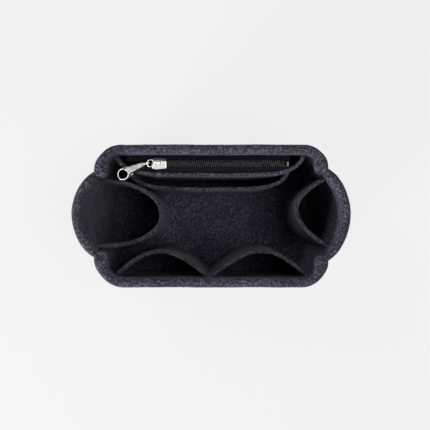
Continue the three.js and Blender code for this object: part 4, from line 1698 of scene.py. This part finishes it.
@dataclass
class Zipper:
    """Woven tapes, wound nylon coils and metal stops of the zip pocket."""

    pockets: FeltPockets
    placer: Placer
    joint: str = "slider_travel"
    keep: float = 0.78
    chain_y: float = 0.0426
    tape: float = 0.001
    tape_step: float = 0.0015
    tape_columns: int = 7
    tape_crease: float = 50.0
    least_width: float = 0.0015
    slit: float = 0.0016
    lip: float = 0.0003
    lip_edge: float = 0.2
    coil_start: float = 0.5
    land: float = 0.0007
    turn: float = 0.008
    bend: float = 0.0012
    bend_drop: float = 0.0004
    bend_end: float = 0.0013
    inner_bend_drop: float = 0.0002
    inner_bend_end: float = 0.002
    pitch: float = 0.0016
    stagger: float = 0.25
    wire: float = 0.00042
    wire_sides: int = 6
    coil_outer: float = 0.0031
    coil_crossing: float = 0.00075
    coil_height: float = 0.002
    coil_lean: float = 0.22
    coil_across_power: float = 0.55
    coil_upright_power: float = 0.7
    parted_tip: float = 0.0014
    post_end: float = 0.0051
    points_per_turn: int = 20
    stop_sides: int = 28
    stop_power: float = 0.5
    stop_profile: tuple[Band, ...] = (
        (-1.0, 0.86), (-0.7, 1.0), (0.2, 1.0), (0.65, 0.93), (0.92, 0.74), (1.0, 0.45)
    )

    def build(self) -> None:
        """Reads the frame's places, then builds tapes, coils and stops."""
        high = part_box("rear_zip_tape")[1]
        self.top = high.z
        self.rear_anchor = high.y
        self.parted_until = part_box("slider_body")[0].x + self.post_end
        self.split_x = self.parted_until + find_joint(self.joint)["range_m"][1]
        self.tapes()
        self.coils()
        self.stops()

    def anchor(self, face: Face, x: float) -> float:
        """Y of the wall that a tape is sewn to.

        Args:
            face: Rear or front half.
            x: Place along the zipper.

        Returns:
            The wall's Y there.
        """
        if face is Face.BACK:
            return self.rear_anchor
        panel = float(self.pockets.zip_y(np.array([x]))[0])
        return panel + self.pockets.felt / 2.0 + self.pockets.seam_gap

    def open_with_slider(self, piece: Piece, face: Face) -> None:
        """Gives a tape or coil piece its own copy of its mesh."""
        anchor = (0.0, self.anchor(face, 0.0), self.top)
        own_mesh(piece)

    def tapes(self) -> None:
        """Builds both tapes: a flat band beside the coil and a sewn edge turned down."""
        for face, node in ((Face.BACK, "rear_zip_tape"), (Face.FRONT, "front_zip_tape")):
            low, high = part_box(node)
            stations = np.linspace(low.x, high.x, round((high.x - low.x) / self.tape_step))
            rows = np.array([[(x, y, z) for y, z in self.tape_ring(face, x)] for x in stations])
            faces = band_faces(len(rows), rows.shape[1])
            mesh = mesh_from(f"{node}_weave", rows, faces, crease=self.tape_crease)
            piece = self.placer.put(mesh, TAPE, Slot.ZIP_TAPE, nodes=[node])
            self.open_with_slider(piece, face)

    def tape_ring(self, face: Face, x: float) -> Outline:
        """Section of a tape, out along its upper face and back along its lower face.

        Args:
            face: Rear or front half.
            x: Place along the zipper.

        Returns:
            The ring's Y and Z.
        """
        top = self.top
        under = top - self.tape
        edge = self.chain_y + face * self.slit
        wall = face * max(face * self.anchor(face, x), face * edge + self.least_width)
        lip = face * self.lip
        land = edge + face * self.land
        bend = wall - face * self.bend
        inner = wall - face * self.tape
        upper = [
            (edge, top - self.lip_edge * self.tape),
            (edge + lip, top),
            *[(y, top) for y in np.linspace(land, bend, self.tape_columns)],
            (wall - lip, top - self.bend_drop),
            (wall, top - self.bend_end),
            (wall, top - self.turn),
        ]
        lower = [
            (edge, top - (1.0 - self.lip_edge) * self.tape),
            (edge + lip, under),
            *[(y, under) for y in np.linspace(land, bend - lip, self.tape_columns)],
            (bend, under - self.inner_bend_drop),
            (inner, top - self.inner_bend_end),
            (inner, top - self.turn),
        ]
        return upper + lower[::-1]

    def coils(self) -> None:
        """Builds both wound coils, split where the slider's post ends at full travel."""
        nylon = NylonFinish("zip_coil_finish", self.top, self.top + self.coil_height)
        for face, node in ((Face.BACK, "rear_zip_coil"), (Face.FRONT, "front_zip_coil")):
            low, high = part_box(node)
            phase = self.coil_start - face * self.stagger
            ends = {ChainPart.OPEN: (low.x, self.split_x), ChainPart.CLOSED: (self.split_x, high.x)}
            for part, (left, right) in ends.items():
                first = int((left - low.x) / self.pitch)
                turns = int((right - low.x) / self.pitch) - first
                start = low.x + (first + phase) * self.pitch
                mesh = self.coil_mesh(f"{node}_{part.value}", face, start, turns)
                piece = self.placer.put(mesh, nylon, Slot.ZIP_COIL, nodes=[node])
                if part is ChainPart.OPEN:
                    self.open_with_slider(piece, face)

    def coil_mesh(self, name: str, face: Face, start: float, turns: int) -> Mesh:
        """A flattened helix whose heads reach across the middle of the chain.

        Args:
            name: Name of the mesh.
            face: Rear or front half.
            start: X of the first head.
            turns: Number of turns.

        Returns:
            The new mesh.
        """
        steps = np.arange(turns * self.points_per_turn + 1)
        angles = 2.0 * np.pi * steps / self.points_per_turn
        x = start + self.pitch * angles / (2.0 * np.pi)
        tip = np.where(x < self.parted_until, self.parted_tip, -self.coil_crossing) + self.wire
        outer = self.coil_outer - self.wire
        swing = signed_power(-np.cos(angles), self.coil_across_power)
        offset = (tip + outer) / 2.0 + swing * (outer - tip) / 2.0
        lift = signed_power(np.sin(angles), self.coil_upright_power)
        z = self.top + self.coil_height / 2.0 + lift * (self.coil_height / 2.0 - self.wire)
        lean = self.coil_lean * self.pitch * np.cos(angles)
        path = np.stack([x + lean, self.chain_y + face * offset, z], axis=1)
        return tube_mesh(name, path, self.wire, self.wire_sides)

    def stops(self) -> None:
        """Builds the metal stops, small crimped blocks with rounded shoulders."""
        angles = round_angles(self.stop_sides)
        for node in ("rear_top_stop", "front_top_stop", "bottom_stop"):
            low, high = (np.array(corner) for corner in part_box(node))
            half = (high - low) / 2.0
            x = half[0] * signed_power(np.cos(angles), self.stop_power)
            y = half[1] * signed_power(np.sin(angles), self.stop_power)
            rows = []
            for level, size in self.stop_profile:
                ring = np.stack([size * x, size * y, np.full(len(angles), half[2] * level)], axis=1)
                rows.append(ring + (low + high) / 2.0)
            mesh = mesh_from(f"{node}_crimp", np.stack(rows), tube_faces(len(rows), len(angles)))
            self.placer.put(mesh, STOP_NICKEL, Slot.NICKEL, nodes=[node])


# Slider and pull


@dataclass
class Slider:
    """Die-cast slider: two wings joined by a post, with side flanges and an arched crown."""

    placer: Placer
    middle: Vector
    length: float = 0.0122
    shoulder: float = 0.0049
    tail: float = 0.004
    nose: float = 0.0022
    nose_length: float = 0.0044
    notch: float = 0.0007
    end_round: float = 0.0004
    end_scale: float = 0.7
    stations: int = 30
    crease: float = 18.0
    wing: float = 0.0012
    top_under: float = 0.0023
    bottom_top: float = -0.0013
    channel: float = 0.0034
    flange: float = 0.0006
    flange_foot: float = 0.0003
    flange_run: float = 0.0006
    flange_bevel: float = 0.1
    flange_bend: Band = (0.7, 0.85)
    nose_edge: float = 0.0004
    nose_lip: float = 0.0002
    bevel: float = 0.0001
    shoulder_round: float = 0.0003
    eaves: float = 0.0005
    ridge: float = 0.26
    ridge_points: int = 7
    wing_points: int = 9
    wing_top_round: float = 0.0003
    wing_top_power: int = 8
    wing_under_round: float = 0.0004
    wing_under_power: int = 6
    post_inset: float = 0.001
    post_length: float = 0.0032
    post_width: float = 0.0022
    post_sink: float = 0.0005
    post_crease: float = 30.0
    crown_inset: float = 0.0006
    crown_sink: float = 0.0006
    crown_length: float = 0.0076
    crown_width: float = 0.0026
    crown_bar: float = 0.0011
    crown_tunnel: float = 0.0026
    crown_round: float = 0.0018
    crown_rise: float = 0.00015
    crown_arc: int = 9
    crown_shares: tuple[float, ...] = (0.25, 0.5, 0.75)
    crown_sides: int = 20
    crown_wide_power: float = 0.55
    crown_thick_power: float = 0.6
    crown_crease: float = 40.0

    def build(self) -> None:
        """Builds the body and the crown."""
        body = join_meshes(self.top_shell(), self.bottom_wing(), self.post())
        self.placer.put(body, NICKEL, Slot.NICKEL, Body.SLIDER, ["slider_body"])
        self.placer.put(self.crown(), NICKEL, Slot.NICKEL, Body.SLIDER, ["slider_crown"])

    def half_width(self, x: float) -> float:
        """Half of the wing's width at a place along the slider.

        Args:
            x: Place along the slider from its middle.

        Returns:
            Half of the width there.
        """
        from_nose = x + self.length / 2.0
        if from_nose < self.nose_length:
            share = from_nose / self.nose_length
            return self.nose + (self.shoulder - self.nose) * math.sqrt(1.0 - (1.0 - share) ** 2)
        share = (from_nose - self.nose_length) / (self.length - self.nose_length)
        return self.shoulder + (self.tail - self.shoulder) * share

    def sweep(self, name: str, ring_at: Callable[[float, float], Outline]) -> Mesh:
        """Sweeps a paired ring along the slider, with its stations closer together at the ends.

        Args:
            name: Name of the mesh.
            ring_at: Gives the ring's Y and Z from the place along the slider and an end scale.

        Returns:
            The new mesh, in place.
        """
        half = self.length / 2.0
        rows = []
        for x in half * np.sin(np.linspace(-np.pi / 2.0, np.pi / 2.0, self.stations)):
            from_end = min(half - abs(x), self.end_round) / self.end_round
            scale = self.end_scale + (1.0 - self.end_scale) * math.sqrt(from_end)
            ring = np.array(ring_at(float(x), scale))
            bite = self.notch * np.clip(1.0 - (ring[:, 0] / self.nose) ** 2, 0.0, 1.0)
            bite = bite * smooth_step(0.0, -half, np.array(x))
            rows.append(np.column_stack([x + bite, ring]))
        points = np.stack(rows) + np.array(self.middle)
        return mesh_from(name, points, band_faces(len(rows), points.shape[1]), crease=self.crease)

    def top_shell(self) -> Mesh:
        """Top wing, sloped to both sides, with flanges that hang from its shoulders.

        Returns:
            The new mesh.
        """
        shares = np.linspace(-1.0, 1.0, self.ridge_points)
        mouth = self.nose_length - self.length / 2.0

        def ring(x: float, scale: float) -> Outline:
            """Section of the wing, with flanges behind its shoulders.

            Args:
                x: Place along the slider from its middle.
                scale: Share of the thickness that the rounded ends leave.

            Returns:
                The ring's Y and Z.
            """
            half = self.half_width(x)
            skirt = float(smooth_step(mouth - self.flange_run, mouth, np.array(x)))
            inner = half - self.nose_edge
            inner += skirt * (max(self.channel, half - self.flange) - inner)
            foot = self.top_under - self.nose_lip
            foot -= skirt * (foot - self.flange_foot)
            span = self.top_under - foot
            roof = self.top_under + self.wing * scale
            eaves = self.top_under + self.eaves * scale
            over = [
                (half, foot + self.flange_bevel * span),
                (half, self.top_under),
                (half - self.bevel, eaves),
                (half - self.shoulder_round, eaves + self.bevel),
            ]
            under = [
                (inner, foot),
                (inner, foot + self.flange_bend[0] * span),
                (inner - self.bevel, foot + self.flange_bend[1] * span),
                (inner - self.shoulder_round, self.top_under),
            ]
            ridge = [(share * self.ridge * half, roof) for share in shares]
            ceiling = [(share * (inner - 2.0 * self.shoulder_round), self.top_under) for share in shares]
            return mirrored(over, ridge) + mirrored(under, ceiling)[::-1]

        return self.sweep("slider_casting", ring)

    def bottom_wing(self) -> Mesh:
        """Bottom wing with rounded edges.

        Returns:
            The new mesh.
        """
        shares = np.linspace(-1.0, 1.0, self.wing_points)
        top = self.bottom_top

        def ring(x: float, scale: float) -> Outline:
            """Section of the bottom wing.

            Args:
                x: Place along the slider from its middle.
                scale: Share of the thickness that the rounded ends leave.

            Returns:
                The ring's Y and Z.
            """
            half = self.half_width(x)
            low = top - self.wing * scale
            drop = self.wing_top_round * np.abs(shares) ** self.wing_top_power
            rise = self.wing_under_round * np.abs(shares) ** self.wing_under_power
            over = list(zip(shares * half, top - drop))
            under = list(zip(shares * half, low + rise))
            return over + under[::-1]

        return self.sweep("slider_bottom_wing", ring)

    def post(self) -> Mesh:
        """Diamond post between the wings near the nose.

        Returns:
            The new mesh.
        """
        left = self.post_inset - self.length / 2.0
        middle = left + self.post_length / 2.0
        half = self.post_width / 2.0
        outline = [(left, 0.0), (middle, -half), (left + self.post_length, 0.0), (middle, half)]
        rows = []
        for z in (self.bottom_top - self.post_sink, self.top_under + self.post_sink):
            rows.append([(x, y, z) for x, y in outline])
        points = np.array(rows) + np.array(self.middle)
        return mesh_from("slider_post", points, tube_faces(2, len(outline)), crease=self.post_crease)

    def crown(self) -> Mesh:
        """Arch along the slider that holds the link, bent from a flat bar with rounded edges.

        Returns:
            The new mesh.
        """
        low = self.top_under + self.wing - self.crown_sink
        foot = low + self.crown_sink
        roof = foot + self.crown_tunnel + self.crown_bar / 2.0
        left = self.crown_inset - self.length / 2.0 + self.crown_bar / 2.0
        right = left + self.crown_length - self.crown_bar
        bend = self.crown_round
        turned = np.linspace(0.0, np.pi / 2.0, self.crown_arc)
        path = [(left, low), (left, foot)]
        for angle in turned:
            path.append((left + bend * (1.0 - math.cos(angle)), roof - bend * (1.0 - math.sin(angle))))
        for share in self.crown_shares:
            x = left + bend + share * (right - left - 2.0 * bend)
            path.append((x, roof + self.crown_rise * math.sin(math.pi * share)))
        for angle in turned:
            path.append((right - bend * (1.0 - math.sin(angle)), roof - bend * (1.0 - math.cos(angle))))
        path += [(right, foot), (right, low)]
        line = np.array(path)
        angles = round_angles(self.crown_sides)
        wide = signed_power(np.cos(angles), self.crown_wide_power) * self.crown_width / 2.0
        thick = signed_power(np.sin(angles), self.crown_thick_power) * self.crown_bar / 2.0
        rows = []
        for (x, z), (out_x, out_z) in zip(line, left_of(directions(line))):
            rows.append(np.stack([x + out_x * thick, wide, z + out_z * thick], axis=1))
        points = np.stack(rows) + np.array(self.middle)
        faces = tube_faces(len(rows), len(angles))
        return mesh_from("slider_crown_arch", points, faces, crease=self.crown_crease)


@dataclass
class Pull:
    """Wire link and the tapered pull with an eye at its neck and a ring at its end."""

    placer: Placer
    link_from: Vector
    link_to: Vector
    wire: float = 0.001
    wire_sides: int = 12
    link_width: float = 0.0056
    link_round: float = 0.0024
    link_arc: int = 9
    yaw: float = math.radians(24.5)
    tilt: float = math.radians(4.5)
    length: float = 0.0217
    eye: float = 0.00195
    eye_hole: float = 0.0012
    eye_width: float = 0.0019
    eye_gap: float = 0.0003
    collar: float = 0.003
    collar_at: float = 0.0022
    neck: float = 0.0042
    neck_at: float = 0.004
    neck_depth: float = 0.62
    width: float = 0.0099
    thickness: float = 0.003
    bar_rows: int = 36
    bar_crease: float = 35.0
    ring: float = 0.0048
    ring_hole: float = 0.0037
    ring_rim: float = 0.0004
    ring_thickness: float = 0.0026
    ring_start: float = 0.0008
    loop_turns: int = 56
    loop_sides: int = 14
    loop_power: float = 0.6
    upper_face: tuple[Band, ...] = (
        (-1.0, 0.1), (-0.98, 0.65), (-0.93, 0.95), (-0.4, 1.0), (0.38, 0.97), (0.68, 0.1), (0.92, -0.6)
    )
    lower_face: tuple[Band, ...] = (
        (-1.0, -0.1), (-0.9, -0.5), (-0.6, -0.85), (-0.2, -1.0), (0.2, -1.0), (0.6, -0.95), (0.9, -0.75)
    )
    curl_radius: float = 0.0013
    curl_side: float = 0.0019
    curl_setback: float = 0.0065
    curl_wire: float = 0.00034
    curl_turns: tuple[float, float] = (-0.6 * math.pi, 0.75 * math.pi)
    curl_points: int = 16
    curl_sides: int = 8

    def build(self) -> None:
        """Builds the link and the pull."""
        self.placer.put(self.link(), NICKEL, Slot.NICKEL, Body.LINK, ["pull_link"])
        self.placer.put(self.tab(), NICKEL, Slot.NICKEL, Body.PULL, ["pull_tab"])

    def link(self) -> Mesh:
        """Closed wire loop between the crown and the pull's eye.

        Returns:
            The new mesh.
        """
        reach = (self.link_from - self.link_to).length
        middle = np.array((self.link_from + self.link_to) / 2.0)
        bend = self.link_round
        path = []
        for quarter, (sign_x, sign_y) in enumerate(((1.0, 1.0), (-1.0, 1.0), (-1.0, -1.0), (1.0, -1.0))):
            x = sign_x * (reach / 2.0 - bend)
            y = sign_y * (self.link_width / 2.0 - bend)
            for angle in np.linspace(quarter, quarter + 1, self.link_arc) * np.pi / 2.0:
                path.append((x + bend * math.cos(angle), y + bend * math.sin(angle), 0.0))
        line = np.array(path) + middle
        return tube_mesh("pull_link_wire", line, self.wire / 2.0, self.wire_sides, closed=True)

    def half_width(self, x: float) -> float:
        """Half of the bar's width at a distance from the eye.

        Args:
            x: Distance from the eye's axis.

        Returns:
            Half of the width there.
        """
        places = [0.0, self.collar_at, self.neck_at, self.length - self.ring_start]
        widths = [self.eye_width, self.collar, self.neck, self.width]
        return float(np.interp(x, places, widths)) / 2.0

    def tab(self) -> Mesh:
        """The tapered bar, its eye, its end ring and the curl beside the ring as one casting.

        Returns:
            The new mesh.
        """
        whole = join_meshes(
            self.bar(),
            self.loop(0.0, self.eye, self.eye_hole, self.eye_width, upright=True),
            self.loop(self.length, self.ring, self.ring_hole, self.ring_thickness, upright=False),
            self.curl(),
        )
        level = math.cos(self.tilt)
        along = Vector((-math.cos(self.yaw) * level, -math.sin(self.yaw) * level, -math.sin(self.tilt)))
        across = Vector((math.sin(self.yaw), -math.cos(self.yaw), 0.0))
        up = along.cross(across)
        for vertex in whole.vertices:
            x, y, z = vertex.co
            vertex.co = self.link_to + along * x + across * y + up * z
        return whole

    def bar(self) -> Mesh:
        """Bar that widens from the neck to the ring, flat on top and steep on its front side.

        Returns:
            The new mesh, with the eye's axis on the origin and the bar along +X.
        """
        spread = np.linspace(-1.0, 1.0, len(self.upper_face))
        start = self.eye_hole + self.eye_gap
        rows = []
        for x in np.linspace(start, self.length - self.ring_start, self.bar_rows):
            half = self.half_width(float(x))
            share = self.neck_depth + (1.0 - self.neck_depth) * x / self.neck_at
            deep = self.thickness / 2.0 * min(1.0, share)
            rim = (self.ring_hole + self.ring_rim) ** 2 - (spread * half) ** 2
            ends = np.minimum(x, self.length - np.sqrt(np.maximum(rim, 0.0)))
            over = [(end, side * half, level * deep) for end, (side, level) in zip(ends, self.upper_face)]
            under = [(end, side * half, level * deep) for end, (side, level) in zip(ends, self.lower_face)]
            rows.append(over + under[::-1])
        faces = band_faces(len(rows), len(rows[0]))
        return mesh_from("pull_casting", np.array(rows), faces, crease=self.bar_crease)

    def curl(self) -> Mesh:
        """Small raised curl on the bar's front side, next to the ring.

        Returns:
            The new mesh.
        """
        angles = np.linspace(*self.curl_turns, self.curl_points)
        middle = self.length - self.curl_setback
        x = middle + self.curl_radius * np.cos(angles)
        y = self.curl_side + self.curl_radius * np.sin(angles)
        sides, levels = np.array(self.upper_face).T
        z = np.interp(y, sides * self.half_width(middle), levels * self.thickness / 2.0)
        return tube_mesh("pull_curl", np.stack([x, y, z], axis=1), self.curl_wire, self.curl_sides)

    def loop(self, x: float, outer: float, inner: float, width: float, upright: bool) -> Mesh:
        """A ring with rounded edges.

        Args:
            x: Place of its middle along the bar.
            outer: Outer radius.
            inner: Radius of its hole.
            width: Width along its axis.
            upright: Whether its axis lies across the bar instead of standing up.

        Returns:
            The new mesh.
        """
        angles = round_angles(self.loop_sides)
        swing = signed_power(np.cos(angles), self.loop_power)
        radial = (outer + inner) / 2.0 + (outer - inner) / 2.0 * swing
        level = width / 2.0 * signed_power(np.sin(angles), self.loop_power)
        rows = []
        for turn in round_angles(self.loop_turns):
            first = x + radial * math.cos(turn)
            second = radial * math.sin(turn)
            columns = (first, level, second) if upright else (first, second, level)
            rows.append(np.stack(columns, axis=1))
        faces = grid_faces(len(rows), len(angles), close_rows=True)
        return mesh_from("pull_loop", np.stack(rows), faces)


# Studio


@dataclass(frozen=True)
class SoftLamp:
    """A square soft box that points at the organizer from a direction in degrees."""

    name: str
    azimuth: float
    elevation: float
    power: float
    size: float = 0.45
    reach: float = 1.3
    aim: tuple[float, float, float] = (0.0, 0.0, 0.1)

    def hang(self) -> None:
        """Adds the lamp to the scene."""
        light = bpy.data.lights.new(self.name, "AREA")
        light.energy = self.power
        light.size = self.size
        lamp = bpy.data.objects.new(self.name, light)
        bpy.context.scene.collection.objects.link(lamp)
        turn = math.radians(self.azimuth)
        lift = math.radians(self.elevation)
        away = Vector((math.cos(lift) * math.cos(turn), math.cos(lift) * math.sin(turn), math.sin(lift)))
        lamp.location = Vector(self.aim) + self.reach * away
        lamp.rotation_euler = (-away).to_track_quat("-Z", "Y").to_euler()


@dataclass(frozen=True)
class Studio:
    """Pale floor, soft lamps, world and the overhead camera."""

    backdrop: float = 0.871
    floor_radius: float = 4.0
    floor_sides: int = 96
    floor_albedo: float = 0.8
    floor_roughness: float = 0.9
    floor_pale: float = 0.984
    floor_glow: float = 0.8
    ambient: float = 0.04
    ambient_tint: Colour = (0.84, 0.86, 1.0)
    camera_place: tuple[float, float, float] = (0.00307, 0.0008, 0.69)
    lens: float = 59.5
    clip: tuple[float, float] = (0.01, 50.0)
    lamps: tuple[SoftLamp, ...] = (
        SoftLamp("low_front_left", 225.0, 14.0, 13.5),
        SoftLamp("back_left", 135.0, 50.0, 3.2),
        SoftLamp("front_right", 315.0, 68.0, 2.3),
        SoftLamp("high_right", 0.0, 68.0, 2.5),
        SoftLamp("overhead_right", 20.0, 78.0, 1.15),
    )

    def build(self) -> None:
        """Sets up everything that isn't the object."""
        bpy.context.scene.view_settings.view_transform = "Standard"
        self.camera()
        self.floor()
        self.world()
        for lamp in self.lamps:
            lamp.hang()

    def camera(self) -> None:
        """Adds the camera straight above, with the back wall at the top of the picture."""
        data = bpy.data.cameras.new("overhead")
        data.lens = self.lens
        data.clip_start, data.clip_end = self.clip
        camera = bpy.data.objects.new("overhead", data)
        camera.location = self.camera_place
        bpy.context.scene.collection.objects.link(camera)
        bpy.context.scene.camera = camera

    @staticmethod
    def seen_directly(bench: NodeBench) -> Socket:
        """Tells rays from the camera, and their reflections and refractions, from all others.

        Args:
            bench: Bench of the floor's material or of the world.

        Returns:
            1 for such rays and 0 for others.
        """
        rays = bench.add("ShaderNodeLightPath").outputs
        seen = bench.math("MAXIMUM", rays["Is Camera Ray"], rays["Is Glossy Ray"])
        return bench.math("MAXIMUM", seen, rays["Is Transmission Ray"])

    def floor(self) -> None:
        """Adds the pale floor, which keeps a soft shadow."""
        mesh = bpy.data.meshes.new("studio_floor")
        work = bmesh.new()
        bmesh.ops.create_circle(work, cap_ends=True, segments=self.floor_sides, radius=self.floor_radius)
        work.to_mesh(mesh)
        work.free()
        floor = bpy.data.objects.new("studio_floor", mesh)
        bpy.context.scene.collection.objects.link(floor)
        material = bpy.data.materials.new("studio_floor")
        material.use_nodes = True
        nodes = material.node_tree.nodes
        bench = NodeBench(material.node_tree)
        bench.feed(nodes["Principled BSDF"], {
            "Base Color": opaque((self.floor_albedo,) * 3),
            "Roughness": self.floor_roughness,
            "Specular IOR Level": 0.0,
        })
        glow = bench.add("ShaderNodeEmission", {"Color": opaque((self.floor_pale,) * 3), "Strength": 1.0})
        mixed = bench.add("ShaderNodeMixShader", {
            0: bench.math("MULTIPLY", self.seen_directly(bench), self.floor_glow),
            1: nodes["Principled BSDF"].outputs[0],
            2: glow.outputs[0],
        })
        bench.feed(nodes["Material Output"], {"Surface": mixed.outputs[0]})
        mesh.materials.append(material)

    def world(self) -> None:
        """Sets a pale backdrop and a plain soft ambient light."""
        world = bpy.data.worlds.new("studio")
        bpy.context.scene.world = world
        world.use_nodes = True
        nodes = world.node_tree.nodes
        bench = NodeBench(world.node_tree)
        ambient = {"Color": opaque(self.ambient_tint), "Strength": self.ambient}
        bench.feed(nodes["Background"], ambient)
        pale = bench.add("ShaderNodeBackground", {"Color": opaque((self.backdrop,) * 3), "Strength": 1.0})
        mixed = bench.add("ShaderNodeMixShader", {
            0: self.seen_directly(bench),
            1: nodes["Background"].outputs[0],
            2: pale.outputs[0],
        })
        bench.feed(nodes["World Output"], {"Surface": mixed.outputs[0]})


def main() -> None:
    """Builds the sub-assemblies in order."""
    logging.basicConfig(level=logging.INFO, format="%(message)s")
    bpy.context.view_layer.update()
    Studio().build()
    placer = Placer()
    plan = ShellPlan.from_frame()
    FeltShell(plan, placer).build()
    pockets = FeltPockets(plan, placer)
    pockets.build()
    zipper = Zipper(pockets, placer)
    zipper.build()
    low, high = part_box("slider_body")
    middle = Vector(((low.x + high.x) / 2.0, (low.y + high.y) / 2.0, zipper.top))
    Slider(placer, middle).build()
    ends = [Vector(find_joint(name)["pos_m"]) for name in ("link_flip", "pull_swing")]
    Pull(placer, *ends).build()
    LOG.info("%d pieces", placer.count)


if __name__ == "__main__":
    main()
